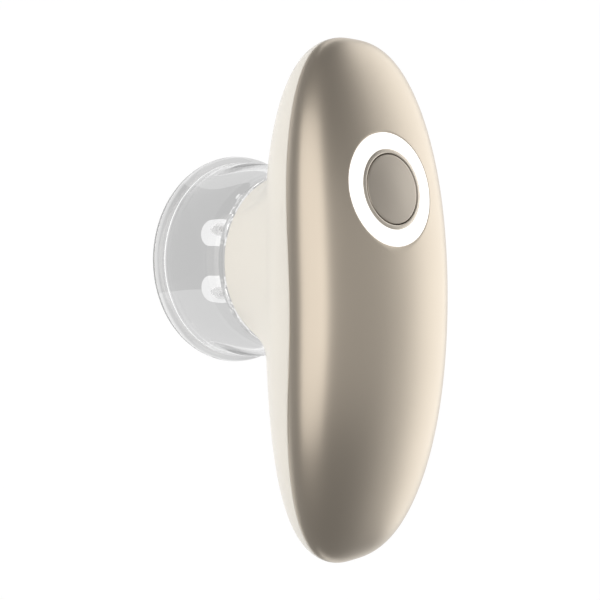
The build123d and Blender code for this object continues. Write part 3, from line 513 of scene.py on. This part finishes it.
def makeFrontCover():
    turns = evenTurns(bodyForm["columns"])
    outer = sideAt(turns, seamHeight(turns))
    inner = sideAt(turns, seamHeight(turns), bodyForm["wall"])
    inward = (inner - outer) / bodyForm["wall"]
    inward[:, 2] = 0
    around = np.arctan2(outer[:, 1], outer[:, 0] - buttonPlace["x"])
    radius, edge = buttonPlace["holeRadius"], coverLook["edgeRound"]
    seam, gap = coverLook["seamRound"], coverLook["seamGap"]
    lift = np.array([0, 0, 1])
    crowding = coverLook["rowCrowding"]
    top = evenRows(
        surfacePath(roundTheButton(radius + edge, around), outer), coverLook["rows"], crowding
    )
    hole = roundTheButton(radius, around)
    under = surfacePath(hole - bodyForm["wall"] * lift, inner, bodyForm["wall"])
    rows = [
        hole - coverLook["holeDepth"] * buttonUp,
        hole - edge * buttonUp,
        roundTheButton(radius + edgeMiddle * edge, around) - edgeMiddle * edge * buttonUp,
        *top[:-coverLook["seamRows"]],
        outer + (seam + gap) * lift,
        outer + edgeMiddle * seam * inward + (edgeMiddle * seam + gap) * lift,
        outer + seam * inward + gap * lift,
        inner + gap * lift,
        *evenRows(under, coverLook["innerRows"], crowding)[::-1],
    ]
    return addPiece("frontCover", rowsMesh(rows), "housing", ["front_cover"], "champagne")


neckForm = {
    "radius": 29 * mm,
    "draft": 1.5 * mm,            # wider by this over the draft's height
    "draftHeight": 24 * mm,
    "endHeight": 30.5 * mm,
    "blendFoot": 1.2 * mm,        # the flare starts this far above the neck's end
    "blendReach": (7 * mm, 14 * mm),  # and runs this far out towards the button and the handle
    "socketRadius": 26.4 * mm,
    "partitionFloor": 38.5 * mm,
    "partitionTop": 40.7 * mm,
    "portRadius": 2.2 * mm,
    "edgeRound": 0.3 * mm,
    "neckRows": 3,
    "blendRows": 30,
    "bodyRows": 70,
    "samples": 700,
    "rowCrowding": 1.5,
    "seamRows": 2,                # of the back, that make way for the seam's own rows
    "lipRows": 7,                 # from the widest line up to the seam
    "edgeMargin": 1.5 * mm,       # between the flare and the widest line
    "flareGrowth": 1.5,           # power with which the flare widens from button to handle
}


def blendColumn(across, along, spoke):
    # one upright cut through neck and back: the neck's side, the flare and the body's back
    near, far = neckForm["blendReach"]
    reach = near + (far - near) * ((1 + spoke[0]) / 2) ** neckForm["flareGrowth"]
    draft = neckForm["draft"] / neckForm["draftHeight"]
    foot = np.array([neckForm["radius"] + draft * neckForm["blendFoot"],
                     neckForm["endHeight"] + neckForm["blendFoot"]])
    out = min(neckForm["radius"] + reach, across[-1] - neckForm["edgeMargin"])
    index = int(np.searchsorted(across, out))
    touch = np.array([across[index], along[index]])
    slope = (along[index + 1] - along[index - 1]) / (across[index + 1] - across[index - 1])
    # the corner is where the neck's side would meet the back's tangent
    height = (touch[1] + slope * (foot[0] - draft * foot[1] - touch[0])) / (1 - slope * draft)
    corner = np.array([foot[0] + draft * (height - foot[1]), height])
    t = np.linspace(0, 1, neckForm["blendRows"])[:, None]
    flare = (1 - t) ** 2 * foot + 2 * t * (1 - t) * corner + t * t * touch
    return foot, flare, np.stack([across[index:], along[index:]], 1)


slotForm = {
    "halfWidth": 4.7 * mm,
    "halfHeight": 1.85 * mm,
    "middle": 54.85 * mm,
    "reach": (77 * mm, 84 * mm),  # from inside the tip to past it
    "cornerSteps": 12,
}


def slotCutter():
    near, far = slotForm["reach"]
    corner = slotForm["halfHeight"]
    straight = slotForm["halfWidth"] - corner
    rim = []
    for side, start in ((1, -math.pi / 2), (-1, math.pi / 2)):
        for step in range(slotForm["cornerSteps"] + 1):
            angle = start + math.pi * step / slotForm["cornerSteps"]
            y = side * straight + corner * math.cos(angle)
            z = slotForm["middle"] + corner * math.sin(angle)
            rim.append((near, y, z))
    bm = bmesh.new()
    face = bm.faces.new([bm.verts.new(point) for point in rim])
    grown = bmesh.ops.extrude_face_region(bm, geom=[face])
    moved = [item for item in grown["geom"] if isinstance(item, bmesh.types.BMVert)]
    bmesh.ops.translate(bm, vec=(far - near, 0, 0), verts=moved)
    bmesh.ops.recalc_face_normals(bm, faces=bm.faces)
    return bm


def cutSlot(bm):
    # the charging socket's rounded slot through the wall of the handle's tip
    meshes, objects = [], []
    for name, shape in (("whole", bm), ("slot", slotCutter())):
        mesh = bpy.data.meshes.new(name)
        shape.to_mesh(mesh)
        shape.free()
        piece = bpy.data.objects.new(name, mesh)
        scene.collection.objects.link(piece)
        meshes.append(mesh)
        objects.append(piece)
    whole, slot = objects
    cut = whole.modifiers.new("slot", "BOOLEAN")
    cut.operation = "DIFFERENCE"
    cut.solver = "EXACT"
    cut.object = slot
    result = bmesh.new()
    result.from_object(whole, bpy.context.evaluated_depsgraph_get())
    for piece in objects:
        bpy.data.objects.remove(piece)
    for mesh in meshes:
        bpy.data.meshes.remove(mesh)
    return result


def backRows(spokes, outer):
    # rows up the neck, over the flare and out over the back
    axis = np.tile([cupAxisX, 0.0, 0.0], (len(spokes), 1))
    path = surfacePath(axis, outer, 0.0, True, neckForm["samples"])
    neckRows = np.empty((neckForm["neckRows"], len(spokes), 3))
    arcRows = np.empty((neckForm["blendRows"], len(spokes), 3))
    bodyRows = np.empty((neckForm["bodyRows"], len(spokes), 3))
    edge = neckForm["edgeRound"]
    for column, spoke in enumerate(spokes):
        across = (path[:, column, :2] - [cupAxisX, 0]) @ spoke
        foot, arc, rest = blendColumn(across, path[:, column, 2], spoke)
        outset = neckForm["draft"] * edge / neckForm["draftHeight"]
        start = [neckForm["radius"] + outset, neckForm["endHeight"] + edge]
        side = np.linspace(start, foot, neckForm["neckRows"] + 1)[:-1]
        steps = np.linalg.norm(np.diff(rest, axis=0), axis=1)
        along = np.concatenate([[0], np.cumsum(steps)])
        wanted = np.linspace(0, 1, neckForm["bodyRows"] + 1)[1:]
        wanted = (1 - (1 - wanted) ** neckForm["rowCrowding"]) * along[-1]
        spread = np.stack([np.interp(wanted, along, rest[:, i]) for i in range(2)], 1)
        for rows, cut in ((neckRows, side), (arcRows, arc), (bodyRows, spread)):
            rows[:, column, 0] = cupAxisX + cut[:, 0] * spoke[0]
            rows[:, column, 1] = cut[:, 0] * spoke[1]
            rows[:, column, 2] = cut[:, 1]
    return [*neckRows, *arcRows, *bodyRows]


def makeRearHousing():
    turns = evenTurns(bodyForm["columns"])
    outer = outlineAt(turns)
    inner = outlineAt(turns, bodyForm["wall"])
    inward = (inner - outer) / bodyForm["wall"]
    inward[:, 2] = 0
    away = outer[:, :2] - [cupAxisX, 0]
    around = np.arctan2(away[:, 1], away[:, 0])
    spokes = np.stack([np.cos(around), np.sin(around)], 1)

    def ring(radius, height):
        return np.column_stack([
            cupAxisX + radius * spokes[:, 0], radius * spokes[:, 1], np.full(len(spokes), height)
        ])

    lift = np.array([0, 0, 1])
    height = seamHeight(turns)
    top = sideAt(turns, height)
    edge, seam, gap = neckForm["edgeRound"], coverLook["seamRound"], coverLook["seamGap"]
    socket, end = neckForm["socketRadius"], neckForm["endHeight"]
    inside = surfacePath(ring(socket, 0), inner, bodyForm["wall"], True)
    rows = [
        ring(neckForm["radius"] - edge, end),
        ring(neckForm["radius"] - edgeMiddle * edge, end + edgeMiddle * edge),
        *backRows(spokes, outer)[:-neckForm["seamRows"]],
        *[sideAt(turns, share * height - seam - gap) for share in np.linspace(0, 1, neckForm["lipRows"])],
        top + edgeMiddle * seam * inward - (edgeMiddle * seam + gap) * lift,
        top + seam * inward - gap * lift,
        sideAt(turns, height - gap, bodyForm["wall"]),
        *evenRows(inside, coverLook["innerRows"], neckForm["rowCrowding"])[::-1],
        ring(socket, neckForm["partitionTop"]),
        ring(neckForm["portRadius"], neckForm["partitionTop"]),
        ring(neckForm["portRadius"], neckForm["partitionFloor"]),
        ring(socket, neckForm["partitionFloor"]),
        ring(socket, end + edge),
        ring(socket + edge, end),
    ]
    return addPiece("rearHousing", cutSlot(rowsMesh(rows)), "housing", ["rear_housing"], "pearl_white")


capForm = {
    "radius": 2.35 * mm,
    "edgeRound": 0.2 * mm,
    "edgeSteps": 6,
    "proud": 0.22 * mm,
    "depth": 1.2 * mm,
    "places": ((-70 * mm, 8 * mm), (-70 * mm, -8 * mm), (62 * mm, 12 * mm), (62 * mm, -12 * mm)),
    "levelReach": 0.4 * mm,       # how far round a cap's middle the back's slope is measured
    "steps": 64,
}


def capProfile():
    radius, edge, proud = capForm["radius"], capForm["edgeRound"], capForm["proud"]
    profile = [(0, -proud), (radius - edge, -proud)]
    for step in range(1, capForm["edgeSteps"] + 1):
        angle = math.pi / 2 * step / capForm["edgeSteps"]
        profile.append((radius - edge + edge * math.sin(angle), edge - proud - edge * math.cos(angle)))
    return profile + [(radius, capForm["depth"]), (0, capForm["depth"])]


def makeScrewCaps():
    # round caps over the housing screws, square to the back where they sit
    caps = bmesh.new()
    reach = capForm["levelReach"]
    for x, y in capForm["places"]:
        around = np.array([(x, y), (x + reach, y), (x - reach, y), (x, y + reach), (x, y - reach)])
        heights = bodyZ(around[:, 0], around[:, 1], back=True)
        outwards = Vector((heights[1] - heights[2], heights[3] - heights[4], -2 * reach))
        cap = spunMesh(capProfile(), (0, 0), capForm["steps"], False)
        turned = Vector((0, 0, -1)).rotation_difference(outwards).to_matrix()
        bmesh.ops.rotate(cap, cent=(0, 0, 0), matrix=turned, verts=cap.verts)
        bmesh.ops.translate(cap, vec=(x, y, heights[0]), verts=cap.verts)
        mesh = bpy.data.meshes.new("oneCap")
        cap.to_mesh(mesh)
        cap.free()
        caps.from_mesh(mesh)
        bpy.data.meshes.remove(mesh)
    return addPiece("screwCaps", caps, "housing", ["screw_caps"], "pearl_white")


ringLook = {
    "outerRadius": 17.45 * mm,
    "innerRadius": 12.4 * mm,
    "depth": 4.2 * mm,
    "edgeRound": 0.12 * mm,
    "columns": 256,
    "rows": 10,
}
bezelLook = {
    "outerRadius": 12.35 * mm,
    "innerRadius": 10.95 * mm,
    "depth": 3.3 * mm,
    "edgeRound": 0.25 * mm,
    "columns": 256,
    "rows": 5,
}


def makeFlushRing(name, look, node, slotName):
    turns = np.linspace(0, 2 * math.pi, look["columns"], endpoint=False)
    outer, inner, edge = look["outerRadius"], look["innerRadius"], look["edgeRound"]
    middle = edgeMiddle * edge
    radii = np.linspace(outer - edge, inner + edge, look["rows"])
    rows = [
        roundTheButton(outer, turns, look["depth"]),
        roundTheButton(outer, turns) - edge * buttonUp,
        roundTheButton(outer - middle, turns) - middle * buttonUp,
        *[roundTheButton(radius, turns) for radius in radii],
        roundTheButton(inner + middle, turns) - middle * buttonUp,
        roundTheButton(inner, turns) - edge * buttonUp,
        roundTheButton(inner, turns, look["depth"]),
    ]
    return addPiece(name, rowsMesh(rows), "housing", [node], slotName)


buttonLook = {
    "radius": 10.65 * mm,
    "edgeRound": 0.3 * mm,
    "edgeRows": ((0, 1), (0.1, 0.55), (0.45, 0.1)),   # how far in and down, as shares of it
    "dome": 0.1 * mm,             # above the crown's own curve, in the middle
    "skirtDepth": 3.7 * mm,
    "flangeRadius": 11.9 * mm,
    "flangeDepth": 4.5 * mm,
    "wall": 1.3 * mm,
    "skin": 2.0 * mm,
    "stemRadius": 2.2 * mm,
    "stemDepth": 3.9 * mm,
    "columns": 192,
    "rows": 26,
}


def makePowerButton():
    look = buttonLook
    turns = np.linspace(0, 2 * math.pi, look["columns"], endpoint=False)
    radius, edge, cavity = look["radius"], look["edgeRound"], look["radius"] - look["wall"]
    rows = [
        roundTheButton(0, turns, look["stemDepth"]),
        roundTheButton(look["stemRadius"], turns, look["stemDepth"]),
        roundTheButton(look["stemRadius"], turns, look["skin"]),
        roundTheButton(cavity, turns, look["skin"]),
        roundTheButton(cavity, turns, look["flangeDepth"]),
        roundTheButton(look["flangeRadius"], turns, look["flangeDepth"]),
        roundTheButton(look["flangeRadius"], turns, look["skirtDepth"]),
        roundTheButton(radius, turns, look["skirtDepth"]),
        *[roundTheButton(radius - inwards * edge, turns) - down * edge * buttonUp
          for inwards, down in look["edgeRows"]],
    ]
    for reach in np.linspace(radius - edge, 0, look["rows"]):
        dome = look["dome"] * math.cos(math.pi / 2 * reach / radius) ** 2
        rows.append(roundTheButton(reach, turns) + dome * buttonUp)
    bm = rowsMesh(rows, closeLoop=False)
    return addPiece("powerButton", bm, "power_button", ["power_button"], "button_champagne")


cupForm = {
    "rimRadius": 36.5 * mm,
    "rimThickness": 4.6 * mm,
    "rimHeight": 5.2 * mm,
    "rimFlat": 1.2 * mm,
    "wall": 2.4 * mm,
    "bellRadius": 34.2 * mm,
    "neckRadius": 29 * mm,
    "shoulderHeight": 27.6 * mm,
    "shoulderTop": 30.2 * mm,
    "collarTop": 37 * mm,
    "collarOuter": 26.1 * mm,
    "collarInner": 23.6 * mm,
    "edgeRound": 0.35 * mm,
    "ceilingDrop": 0.8 * mm,      # of the ceiling inside, below the shoulder
    "rimShoulder": 0.6 * mm,      # where the bell starts to widen into the rim
    "ceilingReach": 1.2 * mm,     # how far the inner bell bends in on its way up
    "bellSteps": 30,
    "rimSteps": 12,
    "heelSteps": 10,
    "steps": 192,
}


def makeSuctionCup():
    c = cupForm
    wall, bell, rim, low, edge = c["wall"], c["bellRadius"], c["rimRadius"], c["rimHeight"], c["edgeRound"]
    mouth = rim - c["rimThickness"]
    foot = (rim + mouth) / 2
    innerBell = bell - wall
    shoulder, neck = c["shoulderHeight"], c["neckRadius"]
    ceiling = shoulder - c["ceilingDrop"]
    halfway = (shoulder + low) / 2
    profile = [
        (c["collarInner"], ceiling),
        (c["collarInner"], c["collarTop"] - edge),
        (c["collarInner"] + edge, c["collarTop"]),
        (c["collarOuter"] - edge, c["collarTop"]),
        (c["collarOuter"], c["collarTop"] - edge),
        (c["collarOuter"], c["shoulderTop"]),
        (neck - edge, c["shoulderTop"]),
        (neck, c["shoulderTop"] - edge),
        (neck, shoulder),
    ]
    profile += bezier(
        profile[-1], (neck + wall, shoulder - wall), (bell, halfway), (bell, low), c["bellSteps"]
    )
    profile += bezier(
        profile[-1], (bell, low - c["rimShoulder"]), (rim, low), (rim, low / 2), c["rimSteps"]
    )
    profile += roundCorner(profile[-1], (rim, 0), (foot + c["rimFlat"] / 2, 0), c["heelSteps"])
    profile.append((foot - c["rimFlat"] / 2, 0))
    profile += roundCorner(profile[-1], (mouth, 0), (mouth, wall), c["heelSteps"])
    profile += bezier(
        profile[-1], (innerBell, halfway), (innerBell - c["ceilingReach"], ceiling - wall),
        profile[0], c["bellSteps"],
    )[:-1]
    bm = spunMesh(profile, (cupAxisX, 0), c["steps"], True)
    return addPiece("suctionCup", bm, "suction_cup", ["suction_cup"], "clear_plastic")


pinForm = {
    "count": 6,
    "circle": 18.2 * mm,
    "radius": 4.3 * mm,
    "tip": 5 * mm,
    "dome": 3.6 * mm,
    "face": 28 * mm,
    "domeSteps": 14,
    "steps": 64,
}


def makeMassagePins():
    p = pinForm
    flat = p["radius"] - p["dome"]
    profile = [(0, p["tip"]), (flat, p["tip"])]
    for step in range(1, p["domeSteps"] + 1):
        angle = math.pi / 2 * step / p["domeSteps"]
        height = p["tip"] + p["dome"] * (1 - math.cos(angle))
        profile.append((flat + p["dome"] * math.sin(angle), height))
    profile += [(p["radius"], p["face"]), (0, p["face"])]
    bm = spunMesh(profile, (cupAxisX + p["circle"], 0), p["steps"], False)
    bmesh.ops.spin(
        bm, geom=bm.verts[:] + bm.edges[:] + bm.faces[:], cent=(cupAxisX, 0, 0), axis=(0, 0, 1),
        angle=2 * math.pi * (p["count"] - 1) / p["count"], steps=p["count"] - 1, use_duplicate=True,
    )
    return addPiece("massagePins", bm, "housing", ["massage_pins"], "pin_chrome")


makeFrontCover()
makeRearHousing()
makeScrewCaps()
makeFlushRing("lightRing", ringLook, "light_ring", "ring_white")
makeFlushRing("buttonBezel", bezelLook, "button_bezel", "bezel_champagne")
makePowerButton()
makeSuctionCup()
makeMassagePins()
print("pieces made")


# The camera stands where the photograph's did; angles in degrees
photoCamera = {
    "turn": 41.748,               # round the long axis, away from the front
    "lift": 3.823,
    "roll": -0.249,
    "distance": 312.97 * mm,
    "right": -19.562 * mm,
    "up": 1.449 * mm,
    "lens": 60,
    "sensor": 36,
}
turn, raised, roll = (math.radians(photoCamera[key]) for key in ("turn", "lift", "roll"))
viewRight = Vector((0, math.cos(turn), math.sin(turn)))
viewUp = Vector((
    -math.cos(raised), math.sin(turn) * math.sin(raised), -math.cos(turn) * math.sin(raised)
))
viewBack = Vector((
    -math.sin(raised), -math.sin(turn) * math.cos(raised), math.cos(turn) * math.cos(raised)
))
bodyMiddle = Vector((0, 0, bodyForm["partingHeight"]))


def makeCamera():
    camera = bpy.data.objects.new("camera", bpy.data.cameras.new("camera"))
    scene.collection.objects.link(camera)
    camera.data.lens = photoCamera["lens"]
    camera.data.sensor_width = photoCamera["sensor"]
    right = math.cos(roll) * viewRight + math.sin(roll) * viewUp
    up = -math.sin(roll) * viewRight + math.cos(roll) * viewUp
    place = Matrix((right, up, viewBack)).transposed().to_4x4()
    place.translation = (
        bodyMiddle + photoCamera["right"] * viewRight + photoCamera["up"] * viewUp
        + photoCamera["distance"] * viewBack
    )
    camera.matrix_world = place
    scene.camera = camera


makeCamera()

# Soft boxes round the body; turn is from the camera towards the photograph's right, in degrees
lamps = {
    "frontBox": {"turn": -5, "lift": 3, "distance": 0.8, "size": (1.12, 1.25), "watts": 5.5,
                 "tint": (1.0, 0.965, 0.92)},
    "frontSpill": {"turn": 48, "lift": -3, "distance": 0.9, "size": (1.2, 0.8), "watts": 0.85,
                   "tint": (1.0, 0.975, 0.94)},
    "rightWall": {"turn": 125, "lift": 6.5, "distance": 0.8, "size": (1.08, 1.8), "watts": 7.2,
                  "tint": (1.0, 0.985, 0.955), "round": True},
}


def makeLamps():
    for name, lamp in lamps.items():
        data = bpy.data.lights.new(name, "AREA")
        data.shape = "ELLIPSE" if lamp.get("round") else "RECTANGLE"
        data.size, data.size_y = lamp["size"]
        data.energy = lamp["watts"]
        data.color = lamp["tint"]
        light = bpy.data.objects.new(name, data)
        scene.collection.objects.link(light)
        sideways, upwards = math.radians(lamp["turn"]), math.radians(lamp["lift"])
        level = math.sin(sideways) * viewRight + math.cos(sideways) * viewBack
        direction = math.cos(upwards) * level + math.sin(upwards) * viewUp
        across = viewUp.cross(direction).normalized()
        place = Matrix((across, direction.cross(across), direction)).transposed().to_4x4()
        place.translation = bodyMiddle + lamp["distance"] * direction
        light.matrix_world = place
        light.visible_camera = False


makeLamps()

surround = {
    "strength": 0.16,
    "tone": (1.0, 0.985, 0.97),
    "floorHalf": 3.0,
    "floorGrid": 4,
    "floorTone": (0.9, 0.9, 0.9),
    "floorRoughness": 0.9,
    "floorWhite": 0.97,           # share of the floor that is plain white to the camera
    "floorGlow": 0.6,             # of the white sweep on what stands above it
    "glowTone": (1.0, 0.985, 0.96),
    "sweepEdge": (0.12, 0.175),   # painted reflection: metal sees the sweep fade between these distances, in metres
    "reflectionDark": 0.2,
    "sweepAhead": (-0.02, 0.06),  # but stay white on the far side, from here on
    "glassPatchShade": 0.56,           # how white the painted shade patch under the cup is through clear plastic
    "glassBesideShade": 0.67,          # and the painted shade on the floor beside it
    "patchMiddle": -20.5 * mm,
    "patchHalf": 17.5 * mm,
}


def makeWorld():
    world = bpy.data.worlds.new("studio")
    world.use_nodes = True
    scene.world = world
    nodes, links = world.node_tree.nodes, world.node_tree.links
    soft = nodes["Background"]
    soft.inputs["Color"].default_value = (*surround["tone"], 1)
    soft.inputs["Strength"].default_value = surround["strength"]
    white = nodes.new("ShaderNodeBackground")
    white.inputs["Color"].default_value = (1, 1, 1, 1)
    path = nodes.new("ShaderNodeLightPath")
    seenWhite = nodes.new("ShaderNodeMath")
    seenWhite.operation = "MAXIMUM"
    links.new(path.outputs["Is Camera Ray"], seenWhite.inputs[0])
    links.new(path.outputs["Is Transmission Ray"], seenWhite.inputs[1])
    mix = nodes.new("ShaderNodeMixShader")
    links.new(seenWhite.outputs[0], mix.inputs["Fac"])
    links.new(soft.outputs[0], mix.inputs[1])
    links.new(white.outputs[0], mix.inputs[2])
    links.new(mix.outputs[0], nodes["World Output"].inputs["Surface"])


def floorPaint(nodes):
    # the plain floor, which takes the object's shadow and lights what stands above it
    paint = nodes["Principled BSDF"]
    paint.inputs["Base Color"].default_value = (*surround["floorTone"], 1)
    paint.inputs["Roughness"].default_value = surround["floorRoughness"]
    paint.inputs["Specular IOR Level"].default_value = 0
    paint.inputs["Emission Color"].default_value = (*surround["glowTone"], 1)
    paint.inputs["Emission Strength"].default_value = surround["floorGlow"]
    return paint


def paintedFloorReflection(nodes, links, place, along):
    # painted reflection, seen only by glossy rays: white near the object and on the far side, dark towards
    # the camera
    far = nodes.new("ShaderNodeVectorMath")
    far.operation = "LENGTH"
    fade = nodes.new("ShaderNodeMapRange")
    fade.interpolation_type = "SMOOTHSTEP"
    fade.inputs["From Min"].default_value = surround["sweepEdge"][0]
    fade.inputs["From Max"].default_value = surround["sweepEdge"][1]
    fade.inputs["To Min"].default_value = 1
    fade.inputs["To Max"].default_value = surround["reflectionDark"]
    ahead = nodes.new("ShaderNodeMapRange")
    ahead.inputs["From Min"].default_value = surround["sweepAhead"][0]
    ahead.inputs["From Max"].default_value = surround["sweepAhead"][1]
    brighter = nodes.new("ShaderNodeMath")
    brighter.operation = "MAXIMUM"
    mirrored = nodes.new("ShaderNodeEmission")
    links.new(place.outputs["Object"], far.inputs[0])
    links.new(far.outputs["Value"], fade.inputs["Value"])
    links.new(along.outputs["Y"], ahead.inputs["Value"])
    links.new(ahead.outputs["Result"], brighter.inputs[0])
    links.new(fade.outputs["Result"], brighter.inputs[1])
    links.new(brighter.outputs[0], mirrored.inputs["Strength"])
    return mirrored


def shadedFloorThroughGlass(nodes, links, along):
    # painted shade: through clear plastic the floor shows grey, darker in a patch behind the middle of the
    # cup
    inPatch = nodes.new("ShaderNodeMath")
    inPatch.operation = "COMPARE"          # 1 in the patch, 0 beside it
    inPatch.inputs[1].default_value = surround["patchMiddle"]
    inPatch.inputs[2].default_value = surround["patchHalf"]
    patch = nodes.new("ShaderNodeMapRange")
    patch.inputs["To Min"].default_value = surround["glassBesideShade"]
    patch.inputs["To Max"].default_value = surround["glassPatchShade"]
    dimmed = nodes.new("ShaderNodeEmission")
    links.new(along.outputs["X"], inPatch.inputs[0])
    links.new(inPatch.outputs[0], patch.inputs["Value"])
    links.new(patch.outputs["Result"], dimmed.inputs["Strength"])
    return dimmed


def makeFloorFinish():
    material = bpy.data.materials.new("floorWhite")
    material.use_nodes = True
    nodes, links = material.node_tree.nodes, material.node_tree.links
    place = nodes.new("ShaderNodeTexCoord")
    along = nodes.new("ShaderNodeSeparateXYZ")
    links.new(place.outputs["Object"], along.inputs[0])
    path = nodes.new("ShaderNodeLightPath")
    share = nodes.new("ShaderNodeMath")
    share.operation = "MULTIPLY"
    share.inputs[1].default_value = surround["floorWhite"]
    links.new(path.outputs["Is Camera Ray"], share.inputs[0])
    shown = floorPaint(nodes)
    for fac, shader in (
        (share.outputs[0], nodes.new("ShaderNodeEmission")),
        (path.outputs["Is Glossy Ray"], paintedFloorReflection(nodes, links, place, along)),
        (path.outputs["Is Transmission Ray"], shadedFloorThroughGlass(nodes, links, along)),
    ):
        mix = nodes.new("ShaderNodeMixShader")
        links.new(fac, mix.inputs["Fac"])
        links.new(shown.outputs[0], mix.inputs[1])
        links.new(shader.outputs[0], mix.inputs[2])
        shown = mix
    links.new(shown.outputs[0], nodes["Material Output"].inputs["Surface"])
    return material


def makeFloor():
    bm = bmesh.new()
    grid = surround["floorGrid"]
    bmesh.ops.create_grid(bm, x_segments=grid, y_segments=grid, size=surround["floorHalf"])
    mesh = bpy.data.meshes.new("floor")
    bm.to_mesh(mesh)
    bm.free()
    mesh.materials.append(makeFloorFinish())
    floor = bpy.data.objects.new("floor", mesh)
    scene.collection.objects.link(floor)


makeWorld()
makeFloor()
print("studio made")
